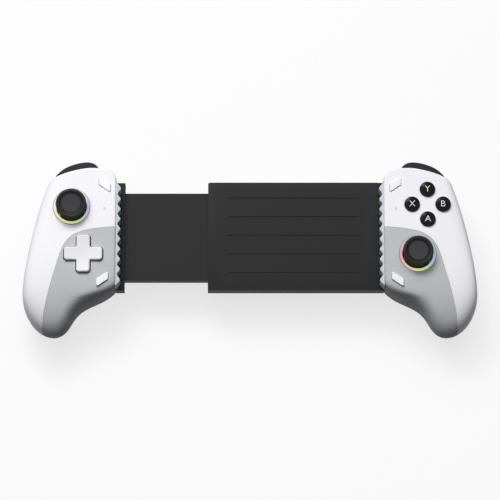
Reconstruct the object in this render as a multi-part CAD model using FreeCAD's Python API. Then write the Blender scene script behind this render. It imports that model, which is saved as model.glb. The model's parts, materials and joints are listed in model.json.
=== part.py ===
import FreeCAD, Part
import math
import os

# A telescoping gamepad that grips a phone between two handles. Millimetres.
# X points right, Y points away from the player (to the shoulder buttons), Z points out of the face.
# The gamepad lies on its back: Z = 0 is the lowest point of the grips. X = 0 is the middle of the phone bay.
# Pieces of a handle are drawn on the right side (X > 0) and mirrored for the left one.

V = FreeCAD.Vector
LEFT = -1
RIGHT = 1

# Handles
face_height = 41.0
wall = 2.2
top_wall = 3.2
inner_wall_x = 82.7
seam_gap = 0.12
fit_gap = 0.2
slide_gap = 0.1
press_gap = 0.03
shaft_gap = 0.05
floor_height = 0.0

# Stations of the grip along Y: (y, outer x, inner x, front and parting below the face, back above the floor)
grip_stations = [
    (60.0, 117.0, 74.0, 0.0, 14.0, 20.0),
    (49.0, 120.6, 74.0, 0.0, 14.0, 8.0),
    (40.0, 124.6, 74.0, 0.0, 14.0, 0.2),
    (31.0, 128.0, 74.0, 0.0, 14.0, -1.2),
    (20.0, 131.3, 74.0, 0.0, 14.5, 5.0),
    (8.0, 134.3, 74.0, 0.0, 15.0, 3.6),
    (-4.0, 136.9, 74.0, 0.0, 15.5, 0.0),
    (-14.0, 138.7, 75.0, 0.0, 16.0, -1.4),
    (-21.5, 139.7, 77.5, 0.2, 16.5, -0.7),
    (-27.5, 140.2, 82.2, 0.5, 17.0, 0.8),
    (-31.5, 140.3, 88.0, 0.9, 17.4, 2.4),
    (-34.5, 140.1, 96.0, 1.4, 17.7, 4.0),
    (-38.0, 139.4, 102.8, 2.1, 18.1, 6.0),
    (-42.8, 137.7, 107.3, 3.4, 18.6, 9.0),
    (-47.6, 135.0, 109.9, 5.4, 19.0, 12.4),
    (-51.9, 131.2, 112.4, 8.4, 19.3, 15.8),
    (-54.9, 126.7, 115.6, 12.4, 19.5, 18.6),
    (-56.1, 122.1, 119.6, 16.8, 19.5, 20.3),
]
bulge_x = 107.0
tip_x = 120.8
tip_blend_start = -20.0
tip_blend_end = -52.0
front_blend_start = -26.0
front_blend_end = -33.5
quarter_poles = 6
front_outer_power = 6.0
front_inner_power = 9.0
back_outer_power = 2.3
back_inner_power = 1.7
grip_power = 2.4

# Top edge of a handle in plan, from the outer side to the inner corner
top_edge = [(133.0, 33.0), (120.1, 42.3), (108.3, 46.4), (98.5, 48.0), (91.0, 47.5)]
top_corner = [(91.0, 47.5), (85.3, 45.9), (82.7, 40.8)]

# Line between the white shell and the grey panel, from the inner wall to the grip's tip
split_line = [(78.0, 10.6), (96.3, 8.9), (104.5, 7.0), (110.6, 3.6), (115.0, -2.2), (118.7, -13.1),
              (121.7, -23.7), (125.1, -37.5), (127.1, -49.0), (127.6, -62.0)]

# Thumbsticks
left_stick_x = 110.0
left_stick_y = 22.9
right_stick_x = 103.0
right_stick_y = -7.2
ring_outer_radius = 11.55
ring_inner_radius = 9.5
ring_height = 0.25
ring_flange_radius = 12.5
flange_drop = 0.9
ring_flange_thickness = 1.6
cap_radius = 9.45
cap_height = 7.8
cap_dish_radius = 6.35
neck_radius = 4.0
dome_radius = 10.5
dome_wall = 1.0
dome_reach_deg = 53.0
pivot_drop = 8.5
lever_radius = 1.55
lever_tail = 2.2
pin_radius = 0.8
shaft_width = 5.6
shaft_height = 4.4
shaft_length = 11.0
journal_radius = 1.2
slot_length = 6.6
ear_inner_x = 6.0
ear_thickness = 1.2
ear_width = 6.0
ear_top = 1.6
cradle_floor = 1.0
click_travel = 0.4
yoke_inner_radius = 5.2
yoke_outer_radius = 6.6
yoke_width = 6.0
yoke_journal_radius = 1.1
yoke_slot_half = 4.3
housing_size = 16.0
housing_wall = 0.65
housing_rise = 1.2
housing_cheek_rise = 2.4
housing_cheek_width = 6.4

# Direction pad
dpad_x = 102.4
dpad_y = -7.4
dpad_span = 23.6
dpad_arm = 8.3
dpad_corner = 1.9
dpad_height = 2.4
dpad_gap = 0.6
dpad_dish_radius = 40.0
dpad_dish_depth = 0.5
dpad_flange = 0.8
dpad_flange_drop = 3.6
dpad_flange_thickness = 1.2
rocker_length = 19.0
rocker_width = 6.0
rocker_thickness = 1.2
rocker_rib_radius = 0.7
rocker_leg_radius = 1.8
rocker_leg_reach = 7.6
rocker_nub_radius = 2.0

# Face buttons
face_cluster_x = 109.5
face_cluster_y = 24.3
face_cluster_radius = 9.55
button_radius = 4.68
button_gap = 0.17
button_height = 1.9
button_dome = 0.7
button_flange_radius = 5.15
button_flange_thickness = 1.2
button_stem_radius = 3.2
membrane_thickness = 0.8
dome_height = 3.6
dome_base_radius = 3.8
dome_top_radius = 2.4

# Small slanted buttons: centre and shape in plan
upper_small_x = 89.7
upper_small_y = 36.9
upper_small_slant = 4.8
lower_small_x = 90.6
lower_small_y = -23.4
lower_small_slant = -4.8
small_width = 7.2
small_side = 5.1
small_corner = 0.7
small_height = 0.7
small_gap = 0.2
small_stem_radius = 1.4
small_flange = 0.4
small_flange_thickness = 1.0

# Indicator
indicator_x = 89.8
indicator_y = 21.9
indicator_radius = 0.9

# Shoulder button
bumper_outline = [(120.4, 42.5), (117.4, 46.2), (112.0, 49.6), (104.8, 51.8), (98.8, 52.0), (95.6, 50.6),
                  (93.8, 48.4)]
bumper_top_drop = 1.7
bumper_bottom_drop = 9.4
bumper_gap = 0.25
bumper_travel_gap = 1.3
bumper_round = 1.6
bumper_pivot_x = 97.0
bumper_pivot_y = 42.6
bumper_arm_width = 4.4
bumper_arm_drop = 4.4
bumper_arm_thickness = 3.0
bumper_arm_overlap = 2.0
bumper_post_radius = 1.25
bumper_push_x = 116.2
bumper_push_width = 3.0

# Trigger
trigger_x0 = 95.6
trigger_x1 = 117.8
trigger_pin_y = 41.6
trigger_pin_drop = 13.4
trigger_pin_radius = 1.0
trigger_hub_radius = 3.2
trigger_top_drop = 10.6
trigger_front_y = 51.5
trigger_tip_y = 56.3
trigger_tip_z = 9.0
trigger_side_gap = 0.5
trigger_rib = 2.0
spring_wire = 0.35
spring_turns = 3
spring_radius = 2.3
spring_pitch = 0.85

# Boards, battery and motors
board_drop = 14.0
board_thickness = 1.6
board_corners = [(87.0, -23.4), (112.0, -23.4), (112.0, -18.5), (126.0, -18.5), (125.5, 24.0), (118.6, 37.4),
                 (86.2, 37.4)]
board_round = 1.5
switch_height = 4.0
switch_size = 4.4
battery_x = 110.0
battery_y = 9.0
battery_length = 34.0
battery_width = 24.0
battery_thickness = 7.0
battery_board_gap = 3.8
motor_x = 123.0
motor_y0 = -40.0
motor_length = 12.0
motor_board_gap = 0.8
motor_radius = 5.0
weight_radius = 6.0
weight_thickness = 4.5
motor_shaft_radius = 0.8

# Case screws: (x, y) of each one on the right side
screw_places = [(121.2, 33.8), (132.0, -10.0), (88.2, 27.4), (101.0, -28.2), (120.6, -47.0)]
screw_post_radius = 3.0
screw_radius = 1.0
screw_head_radius = 2.1
screw_head_thickness = 1.5
screw_seat_drop = 21.5
screw_length = 11.5

# Phone pads
pad_pitch = 6.4
pad_waves = 10
pad_first_y = -26.4
pad_crest = 2.9
pad_trough = 1.1
pad_top_drop = 1.0
pad_bottom_drop = 11.4
pad_tip_y = 41.0

# Bridge
bay_center_y = 7.2
bridge_half_width = 34.6
bridge_front_drop = 12.0
bridge_thickness = 9.5
bed_step = 0.6
bed_pad_gap = 0.4
cover_thickness = 1.6
sleeve_end_x = -26.0
flange_length = 5.2
tongue_half_width = 28.0
tongue_tip_x = 26.0
channel_floor = 2.1
channel_end_x = 77.5
tenon_half_width = 16.0
tenon_length = 6.5
tenon_thickness = 3.4
bridge_round = 2.4
groove_width = 4.6
lug_length = 3.0
spring_tube_radius = 1.9
spring_tube_bore = 1.2
bridge_screw_radius = 0.9
bridge_screw_head = 1.7

# Charging socket
socket_x = 88.6
socket_width = 8.94
socket_height = 3.2
socket_wall = 0.3
socket_mouth_y = 45.3
socket_back_y = 34.0

# Values that follow from those above
inner_face = face_height - wall
board_top = face_height - board_drop
board_bottom = board_top - board_thickness
dpad_flange_top = face_height - dpad_flange_drop
bumper_bottom_z = face_height - bumper_bottom_drop
bumper_arm_top = face_height - bumper_arm_drop
bumper_arm_bottom = bumper_arm_top - bumper_arm_thickness
trigger_pin_z = face_height - trigger_pin_drop
trigger_top_z = face_height - trigger_top_drop
battery_floor = board_bottom - battery_board_gap - battery_thickness
motor_z = board_bottom - motor_board_gap - motor_radius
screw_seat_z = face_height - screw_seat_drop
pad_top_z = face_height - pad_top_drop
pad_bottom_z = face_height - pad_bottom_drop
bridge_front_z = face_height - bridge_front_drop
bridge_back_z = bridge_front_z - bridge_thickness
far = 200.0
pivot_z = face_height - pivot_drop


def box(x0, x1, y0, y1, z0, z1):
    return Part.makeBox(x1 - x0, y1 - y0, z1 - z0, V(x0, y0, z0))


def rod_z(x, y, radius, z0, z1):
    return Part.makeCylinder(radius, z1 - z0, V(x, y, z0), V(0, 0, 1))


def rod_x(y, z, radius, x0, x1):
    return Part.makeCylinder(radius, x1 - x0, V(x0, y, z), V(1, 0, 0))


def rod_y(x, z, radius, y0, y1):
    return Part.makeCylinder(radius, y1 - y0, V(x, y0, z), V(0, 1, 0))


def revolve(profile, x, y, z):
    """Turns a closed (radius, height) outline about the vertical axis through (x, y, z)."""
    points = [V(x + radius, y, z + height) for radius, height in profile]
    face = Part.Face(Part.makePolygon(points + points[:1]))
    return face.revolve(V(x, y, z), V(0, 0, 1), 360)


def curve_through(points, z):
    spline = Part.BSplineCurve()
    spline.interpolate([V(x, y, z) for x, y in points])
    return spline.toShape()


def raise_outline(edges, height):
    return Part.Face(Part.Wire(edges)).extrude(V(0, 0, height))


def mirrored(shape, side):
    if side == LEFT:
        return shape.mirror(V(0, 0, 0), V(1, 0, 0))
    return shape


def blend(value, start, end):
    """0 before start, 1 after end, straight between them."""
    return min(1.0, max(0.0, (value - start) / (end - start)))


def export(name, *solids):
    shape = solids[0] if len(solids) == 1 else Part.makeCompound(list(solids))
    if not shape.isValid():
        print("not valid:", name)
    for solid in shape.Solids:
        if solid.Volume <= 0:
            print("bad volume:", name)
    print(name, len(shape.Solids), round(shape.Volume, 1))
    shape.exportStep("parts/" + name + ".step")


# Handle form

def signed_power(value, power):
    return math.copysign(abs(value) ** (2.0 / power), value)


def section_poles(station, inset):
    """Control points round one section of the grip, quarter by quarter, pulled in by inset."""
    y, outer, inner, front_drop, parting_drop, back = station
    front = face_height - front_drop
    parting = face_height - parting_drop
    tip = blend(y, tip_blend_start, tip_blend_end)
    middle = bulge_x + tip * (tip_x - bulge_x)
    middle = min(max(middle, inner + 1.0), outer - 1.0)
    front_tip = blend(y, front_blend_start, front_blend_end)
    powers = [power + share * (grip_power - power) for power, share in
              ((front_outer_power, tip), (front_inner_power, front_tip),
               (back_inner_power, tip), (back_outer_power, tip))]
    y_inset = y + inset * blend(y, -12.0, -28.0)
    poles = []
    count = 4 * quarter_poles
    for step in range(count):
        angle = 2 * math.pi * step / count
        power = powers[step // quarter_poles]
        across = signed_power(math.cos(angle), power)
        up = signed_power(math.sin(angle), power)
        reach_x = outer - inset - middle if across > 0 else middle - inner - inset
        reach_z = front - inset - parting if up > 0 else parting - back - inset
        poles.append(V(middle + across * max(reach_x, 0.4), y_inset, parting + up * max(reach_z, 0.4)))
    return poles


def grip_solid(inset):
    """A smooth closed grip whose control net follows the stations."""
    rows = [section_poles(station, inset) for station in grip_stations]
    around = len(rows[0])
    along = len(rows)
    net = [[rows[row][column] for row in range(along)] for column in range(around)]
    surface = Part.BSplineSurface()
    surface.buildFromPolesMultsKnots(
        net,
        [1] * (around + 1),
        [4] + [1] * (along - 4) + [4],
        [float(knot) for knot in range(around + 1)],
        [float(knot) for knot in range(along - 2)],
        True, False, 3, 3)
    side = surface.toShape()
    ends = [Part.Face(Part.Wire([surface.vIso(value).toShape()])) for value in (0.0, float(along - 3))]
    shell = Part.makeShell([side] + ends)
    shell.sewShape()
    solid = Part.makeSolid(shell)
    if solid.Volume < 0:
        solid.reverse()
    return solid


def plan_prism(wall_inset, top_inset):
    """The region of the plan that a handle fills: below its top edge and outside its inner wall."""
    top = [(x, y - top_inset) for x, y in top_edge]
    corner = [V(x + wall_inset * index / 2.0, y - top_inset, -far) for index, (x, y) in enumerate(top_corner)]
    inner = inner_wall_x + wall_inset
    edges = [
        curve_through(top, -far),
        Part.Arc(*corner).toShape(),
        Part.makeLine(corner[-1], V(inner, -far, -far)),
        Part.makeLine(V(inner, -far, -far), V(far, -far, -far)),
        Part.makeLine(V(far, -far, -far), V(far, top[0][1], -far)),
        Part.makeLine(V(far, top[0][1], -far), V(top[0][0], top[0][1], -far)),
    ]
    return raise_outline(edges, 2 * far)


def split_prism(shift):
    """The region of the plan inside the line between shell and panel."""
    points = [(x - shift, y - shift) for x, y in split_line]
    start = points[0]
    end = points[-1]
    corner = V(start[0], end[1], -far)
    edges = [
        curve_through(points, -far),
        Part.makeLine(V(end[0], end[1], -far), corner),
        Part.makeLine(corner, V(start[0], start[1], -far)),
    ]
    return raise_outline(edges, 2 * far)


def front_half(shift):
    """Everything in front of the parting surface."""
    spline = Part.BSplineCurve()
    points = [V(0, station[0], face_height - station[4] + shift) for station in grip_stations]
    spline.interpolate(points)
    first = points[0]
    last = points[-1]
    lines = [V(0, last.y, far), V(0, first.y, far)]
    wire = Part.Wire([spline.toShape(), Part.makeLine(last, lines[0]), Part.makeLine(lines[0], lines[1]),
                      Part.makeLine(lines[1], first)])
    return Part.Face(wire).extrude(V(far, 0, 0))


def slanted_outline(x, y, slant, grow, z):
    """A slanted four-sided outline with rounded corners; slant is the drop from inner to outer side."""
    half = small_width / 2 + grow
    side_half = small_side / 2 + grow
    corners = [V(x - half, y - slant / 2 - side_half, z), V(x + half, y + slant / 2 - side_half, z),
               V(x + half, y + slant / 2 + side_half, z), V(x - half, y - slant / 2 + side_half, z)]
    return rounded_polygon(corners, small_corner)


def rounded_polygon(corners, radius):
    """Straight edges between the corners, with an arc of about the given radius at each one."""
    edges = []
    starts = []
    ends = []
    count = len(corners)
    for index, corner in enumerate(corners):
        before = (corners[index - 1] - corner).normalize()
        after = (corners[(index + 1) % count] - corner).normalize()
        half_angle = before.getAngle(after) / 2
        back_off = radius / math.tan(half_angle)
        centre_way = (before + after).normalize() * (radius / math.sin(half_angle))
        middle = corner + centre_way - (before + after).normalize() * radius
        starts.append(corner + before * back_off)
        ends.append(corner + after * back_off)
        edges.append(Part.Arc(starts[-1], middle, ends[-1]).toShape())
    for index in range(count):
        edges.append(Part.makeLine(ends[index], starts[(index + 1) % count]))
    return Part.Wire(Part.__sortEdges__(edges))


def small_button_prism(place, grow, z0, z1):
    x, y, slant = place
    return Part.Face(slanted_outline(x, y, slant, grow, z0)).extrude(V(0, 0, z1 - z0))


upper_small = (upper_small_x, upper_small_y, upper_small_slant)
lower_small = (lower_small_x, lower_small_y, lower_small_slant)


def cross_prism(x, y, grow, z0, z1):
    reach = dpad_span / 2 + grow
    half = dpad_arm / 2 + grow
    corners = [V(x - half, y - reach, z0), V(x + half, y - reach, z0), V(x + half, y - half, z0),
               V(x + reach, y - half, z0), V(x + reach, y + half, z0), V(x + half, y + half, z0),
               V(x + half, y + reach, z0), V(x - half, y + reach, z0), V(x - half, y + half, z0),
               V(x - reach, y + half, z0), V(x - reach, y - half, z0), V(x - half, y - half, z0)]
    prism = Part.Face(Part.makePolygon(corners + corners[:1])).extrude(V(0, 0, z1 - z0))
    outer = [edge for edge in prism.Edges if is_arm_end(edge, x, y, half, reach)]
    return prism.makeFillet(dpad_corner, outer)


def is_arm_end(edge, x, y, half, reach):
    """True for the upright edges at the ends of the cross's arms."""
    first = edge.Vertexes[0].Point
    last = edge.Vertexes[-1].Point
    if abs(first.x - last.x) + abs(first.y - last.y) > 0.01:
        return False
    return max(abs(first.x - x), abs(first.y - y)) > (half + reach) / 2


def face_button_places():
    """(name, x, y) of the four round buttons."""
    turns = {"button_b": 0, "button_y": 90, "button_x": 180, "button_a": 270}
    places = []
    for name, turn in turns.items():
        angle = math.radians(turn)
        places.append((name, face_cluster_x + face_cluster_radius * math.cos(angle),
                       face_cluster_y + face_cluster_radius * math.sin(angle)))
    return places


# Shells

def trigger_notch():
    """The gap in a handle's top wall that the trigger swings in."""
    return box(trigger_x0 - trigger_side_gap, trigger_x1 + trigger_side_gap,
               trigger_pin_y - trigger_hub_radius - 0.4, far, -far, trigger_top_z + 0.8)


def bumper_recess():
    """The strip cut from the outside of the top wall behind the shoulder button."""
    inside = [(x, y - bumper_travel_gap) for x, y in top_edge]
    start = inside[0]
    end = inside[-1]
    z0 = bumper_bottom_z - 0.4
    edges = [
        curve_through(inside, z0),
        Part.makeLine(V(end[0], end[1], z0), V(end[0], far, z0)),
        Part.makeLine(V(end[0], far, z0), V(start[0], far, z0)),
        Part.makeLine(V(start[0], far, z0), V(start[0], start[1], z0)),
    ]
    strip = raise_outline(edges, face_height - bumper_top_drop + fit_gap - z0)
    return strip.common(box(92.2, 121.4, 0, far, -far, far))


def bumper_slots():
    """Windows in the top wall for the shoulder button's hinge arm and push arm."""
    arm = box(bumper_pivot_x - bumper_arm_width / 2 - 0.6, bumper_pivot_x + bumper_arm_width / 2 + 1.2,
              bumper_pivot_y - bumper_arm_width / 2 - 0.6, far, bumper_arm_bottom - 0.3, bumper_arm_top + 0.3)
    push = box(bumper_push_x - bumper_push_width / 2 - 0.5, bumper_push_x + bumper_push_width / 2 + 0.5,
               bumper_pivot_y - 4.0, far, bumper_arm_bottom - 0.3, bumper_arm_top + 0.3)
    return arm.fuse(push)


def screw_boss(x, y):
    boss = rod_z(x, y, screw_post_radius - 0.4, board_top + fit_gap, face_height - wall / 2)
    hole = rod_z(x, y, screw_radius + press_gap, board_top, screw_seat_z + screw_length + 0.5)
    return boss.cut(hole)


def inside_panel(x, y):
    """True where the grey panel, and not the white shell, carries a boss."""
    return split_prism(0.0).isInside(V(x, y, 0), 0.01, True)


def front_holes(side):
    """Every opening through the face of one handle."""
    holes = [small_button_prism(upper_small, small_gap, 0, far),
             small_button_prism(lower_small, small_gap, 0, far),
             rod_z(indicator_x, indicator_y, indicator_radius + shaft_gap, 0, far)]
    if side == LEFT:
        holes.append(rod_z(left_stick_x, left_stick_y, ring_outer_radius + shaft_gap, 0, far))
        holes.append(cross_prism(dpad_x, dpad_y, dpad_gap, 0, far))
    else:
        holes.append(rod_z(right_stick_x, right_stick_y, ring_outer_radius + shaft_gap, 0, far))
        for _, x, y in face_button_places():
            holes.append(rod_z(x, y, button_radius + button_gap, 0, far))
    return holes


def flange_rooms():
    """Room behind the face for the hidden flanges of the small buttons."""
    grow = small_gap + small_flange + fit_gap
    top = inner_face - flange_drop + fit_gap
    return [small_button_prism(place, grow, board_top, top) for place in (upper_small, lower_small)]


def trigger_ribs():
    """Two ribs under the face that hold the trigger's pin."""
    ribs = []
    for x in (trigger_x0 - trigger_side_gap - trigger_rib, trigger_x1 + trigger_side_gap):
        rib = box(x, x + trigger_rib, trigger_pin_y - 3.0, trigger_pin_y + 2.4, trigger_pin_z - 2.2,
                  face_height - wall / 2)
        ribs.append(rib)
    return ribs


def pin_hole():
    reach = trigger_side_gap + trigger_rib + fit_gap
    return rod_x(trigger_pin_y, trigger_pin_z, trigger_pin_radius + press_gap, trigger_x0 - reach,
                 trigger_x1 + reach)


def rib_slots():
    """Room in the rear shell for the ends of the trigger's ribs."""
    reach = trigger_side_gap + trigger_rib + fit_gap
    return box(trigger_x0 - reach, trigger_x1 + reach, trigger_pin_y - 3.0 - fit_gap, far,
               trigger_pin_z - 2.2 - fit_gap, far)


def bumper_post():
    return rod_z(bumper_pivot_x, bumper_pivot_y, bumper_post_radius, bumper_arm_bottom - 0.6,
                 face_height - wall / 2)


def tenon_slot():
    """The mouth in the left handle's inner wall for the bridge slide's tenon."""
    z0 = tenon_bottom() - slide_gap
    return box(0, inner_wall_x + 2 * wall, bay_center_y - tenon_half_width - slide_gap,
               bay_center_y + tenon_half_width + slide_gap, z0, z0 + tenon_thickness + 2 * slide_gap)


def tenon_bottom():
    return bridge_back_z + 1.2


def socket_opening():
    z1 = board_bottom - shaft_gap
    return box(socket_x - socket_width / 2 - slide_gap, socket_x + socket_width / 2 + slide_gap,
               socket_back_y, far, z1 - socket_height - slide_gap, board_bottom)


def build_shells(side):
    """Returns the white front shell, the grey front panel and the rear shell, on the right side."""
    above_floor = box(0, far, -far, far, floor_height, far)
    outside = grip_solid(0.0).common(plan_prism(0.0, 0.0)).common(above_floor)
    inside = grip_solid(wall).common(plan_prism(wall, top_wall))
    skin = outside.cut(inside)
    lugs = [screw_boss(x, y) for x, y in screw_places]
    front_lugs = [lug for lug, (x, y) in zip(lugs, screw_places) if not inside_panel(x, y)]
    panel_lugs = [lug for lug, (x, y) in zip(lugs, screw_places) if inside_panel(x, y)]
    front_skin = skin.common(front_half(seam_gap / 2))
    front = front_skin.cut(split_prism(0.0))
    front = front.fuse([lug.common(outside) for lug in front_lugs + trigger_ribs()])
    openings = front_holes(side) + flange_rooms()
    front = front.cut([bumper_recess(), trigger_notch(), bumper_slots(), pin_hole()] + openings)
    front = front.fuse(bumper_post())
    panel = front_skin.common(split_prism(seam_gap))
    panel = panel.fuse([lug.common(outside) for lug in panel_lugs])
    panel = panel.cut(openings)
    rear = skin.cut(front_half(-seam_gap / 2))
    rear = rear.fuse([post.common(outside) for post in rear_posts()])
    rear = rear.cut([trigger_notch(), rib_slots(), pin_hole(), motor_bed_cut()] + screw_holes())
    if side == LEFT:
        rear = rear.fuse([rib.common(outside) for rib in battery_ribs()])
        rear = rear.cut(tenon_slot())
    else:
        rear = rear.cut(socket_opening())
    return biggest(front), biggest(panel), biggest(rear)


def biggest(shape):
    solids = sorted(shape.Solids, key=lambda solid: solid.Volume)
    if len(solids) > 1:
        print("loose scraps:", [round(solid.Volume, 3) for solid in solids[:-1]])
    return solids[-1]


def rear_posts():
    posts = [rod_z(x, y, screw_post_radius, -far, board_top) for x, y in screw_places]
    posts.append(box(motor_x - motor_radius - 1.2, motor_x + motor_radius + 1.2, motor_y0 + 1.5,
                     motor_y0 + motor_length - 1.5, -far, motor_z))
    return posts


def motor_bed_cut():
    return rod_y(motor_x, motor_z, motor_radius + shaft_gap, motor_y0 - 1.0, motor_y0 + motor_length + 8.0)


def screw_holes():
    holes = []
    for x, y in screw_places:
        holes.append(rod_z(x, y, screw_head_radius + fit_gap, -far, screw_seat_z))
        holes.append(rod_z(x, y, screw_radius + press_gap, 0, board_top + 1.0))
    return holes


def battery_ribs():
    ribs = []
    for y in (battery_y - battery_length / 4, battery_y + battery_length / 4):
        ribs.append(box(battery_x - battery_width / 2, battery_x + battery_width / 2, y - 0.8, y + 0.8,
                        -far, battery_floor))
    return ribs


def case_screws():
    screws = []
    for x, y in screw_places:
        head = rod_z(x, y, screw_head_radius, screw_seat_z - screw_head_thickness, screw_seat_z)
        slot = box(x - far, x + far, y - 0.3, y + 0.3, screw_seat_z - screw_head_thickness,
                   screw_seat_z - screw_head_thickness + 0.5)
        shank = rod_z(x, y, screw_radius, screw_seat_z, screw_seat_z + screw_length)
        screws.append(head.cut(slot).fuse(shank))
    return screws


# Thumbstick

def light_ring(x, y):
    top = face_height + ring_height
    flange_top = inner_face - flange_drop
    profile = [(ring_inner_radius, -wall + 0.1), (ring_inner_radius, ring_height - 0.4),
               (ring_inner_radius + 0.4, ring_height), (ring_outer_radius - 0.3, ring_height),
               (ring_outer_radius, ring_height - 0.3), (ring_outer_radius, flange_top - face_height),
               (ring_flange_radius, flange_top - face_height),
               (ring_flange_radius, flange_top - face_height - ring_flange_thickness),
               (ring_inner_radius + 1.5, flange_top - face_height - ring_flange_thickness)]
    ring = revolve(profile, x, y, face_height)
    return ring.common(box(-far, far, -far, far, 0, top))


def stick_cap(x, y):
    """Rubber cap with a dished top, a neck and the dust dome under the ring, heights from the face."""
    top = cap_height
    disc = revolve([(0, top - 0.9), (cap_dish_radius - 0.6, top - 0.55), (cap_dish_radius, top - 0.75),
                    (cap_dish_radius + 0.5, top - 0.75), (cap_dish_radius + 1.1, top - 0.1),
                    (cap_radius - 1.1, top), (cap_radius - 0.3, top - 0.35), (cap_radius, top - 1.0),
                    (cap_radius, top - 1.5), (cap_radius - 0.9, top - 1.95), (cap_radius - 2.4, top - 2.6),
                    (neck_radius, top - 3.2), (neck_radius, dome_radius - pivot_drop - 0.5),
                    (0, dome_radius - pivot_drop - 0.5)], x, y, face_height)
    outer = Part.makeSphere(dome_radius, V(x, y, pivot_z))
    inner = Part.makeSphere(dome_radius - dome_wall, V(x, y, pivot_z))
    reach = math.radians(dome_reach_deg)
    cone = Part.makeCone(0, 2 * dome_radius * math.tan(reach), 2 * dome_radius, V(x, y, pivot_z), V(0, 0, 1))
    dome = outer.cut(inner).common(cone)
    bore = rod_z(x, y, lever_radius + shaft_gap, pivot_z, face_height + top - 2.2)
    return disc.fuse(dome).cut(bore)


def stick_lever(x, y):
    rod = rod_z(x, y, lever_radius, pivot_z - lever_tail, face_height + cap_height - 2.3)
    pin = rod_y(x, pivot_z, pin_radius, y - shaft_width / 2 + 0.1, y + shaft_width / 2 - 0.1)
    return rod.fuse(pin)


def stick_cross_shaft(x, y):
    block = box(x - shaft_length / 2, x + shaft_length / 2, y - shaft_width / 2, y + shaft_width / 2,
                pivot_z - shaft_height / 2, pivot_z + shaft_height / 2)
    block = block.makeFillet(0.8, [edge for edge in block.Edges if abs(edge.Length - shaft_length) < 0.01])
    reach = ear_inner_x + ear_thickness
    journal = rod_x(y, pivot_z, journal_radius, x - reach, x + reach)
    slot = box(x - slot_length / 2, x + slot_length / 2, y - lever_radius - slide_gap,
               y + lever_radius + slide_gap, 0, far)
    return block.fuse(journal).cut([slot, rod_y(x, pivot_z, pin_radius + shaft_gap, y - far, y + far)])


def stick_cradle(x, y):
    """The click cradle: a floor and two ears that hold the cross shaft."""
    bottom = board_top + click_travel + fit_gap
    reach = ear_inner_x + ear_thickness
    floor = box(x - reach, x + reach, y - ear_width / 2, y + ear_width / 2, bottom, bottom + cradle_floor)
    cradle = floor
    for x0 in (x - reach, x + ear_inner_x):
        ear = box(x0, x0 + ear_thickness, y - ear_width / 2, y + ear_width / 2, bottom, pivot_z + ear_top)
        upright = [edge for edge in ear.Edges if abs(edge.Length - ear_thickness) < 0.01
                   and edge.CenterOfMass.z > pivot_z]
        cradle = cradle.fuse(ear.makeFillet(1.2, upright))
    return cradle.cut(rod_x(y, pivot_z, journal_radius + shaft_gap, x - far, x + far))


def stick_yoke(x, y):
    """An arch over the cross shaft that turns about Y, with a slot for the lever."""
    ring = rod_x(y, pivot_z, yoke_outer_radius, x - yoke_width / 2, x + yoke_width / 2)
    ring = ring.cut(rod_x(y, pivot_z, yoke_inner_radius, x - far, x + far))
    arch = ring.common(box(x - far, x + far, y - far, y + far, pivot_z - yoke_journal_radius, far))
    slot_half = lever_radius + slide_gap * 2
    arch = arch.cut(box(x - slot_half, x + slot_half, y - yoke_slot_half, y + yoke_slot_half, pivot_z, far))
    reach = housing_size / 2
    for y0, y1 in ((y - reach, y - yoke_inner_radius - 0.2), (y + yoke_inner_radius + 0.2, y + reach)):
        arch = arch.fuse(rod_y(x, pivot_z, yoke_journal_radius, y0, y1))
    return arch


def stick_housing(x, y):
    half = housing_size / 2
    inner = half - housing_wall
    frame = box(x - half, x + half, y - half, y + half, board_top, pivot_z + housing_rise)
    cheeks = box(x - housing_cheek_width / 2, x + housing_cheek_width / 2, y - half, y + half, board_top,
                 pivot_z + housing_cheek_rise)
    frame = frame.fuse(cheeks)
    frame = frame.cut(box(x - inner, x + inner, y - inner, y + inner, 0, far))
    return frame.cut(rod_y(x, pivot_z, yoke_journal_radius + shaft_gap, y - far, y + far))


def export_stick(name, x, y, side):
    pieces = {
        "light_ring": light_ring(x, y),
        "stick_cap": stick_cap(x, y),
        "stick_lever": stick_lever(x, y),
        "stick_cross_shaft": stick_cross_shaft(x, y),
        "stick_cradle": stick_cradle(x, y),
        "stick_yoke": stick_yoke(x, y),
        "stick_housing": stick_housing(x, y),
    }
    for piece, shape in pieces.items():
        export(name + "_" + piece, mirrored(shape, side))


# Buttons

def dpad():
    top = face_height + dpad_height
    cap = cross_prism(dpad_x, dpad_y, 0, dpad_flange_top - 0.5, top)
    rim = [edge for edge in cap.Edges if edge.BoundBox.ZMin > top - 0.01]
    cap = cap.makeFillet(0.8, rim)
    flange = cross_prism(dpad_x, dpad_y, dpad_gap + dpad_flange, dpad_flange_top - dpad_flange_thickness,
                         dpad_flange_top)
    dish = Part.makeSphere(dpad_dish_radius, V(dpad_x, dpad_y, top + dpad_dish_radius - dpad_dish_depth))
    legs = [rocker_leg(dpad_x - rocker_leg_reach, dpad_y, dpad_flange_top),
            rocker_leg(dpad_x + rocker_leg_reach, dpad_y, dpad_flange_top)]
    return cap.fuse([flange] + legs).cut(dish)


def rocker_leg(x, y, top):
    """A leg that presses one dome of the membrane."""
    return rod_z(x, y, rocker_leg_radius, membrane_dome_top() + fit_gap, top - 0.5)


def rocker_top():
    return dpad_flange_top - dpad_flange_thickness - rocker_rib_radius


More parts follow.
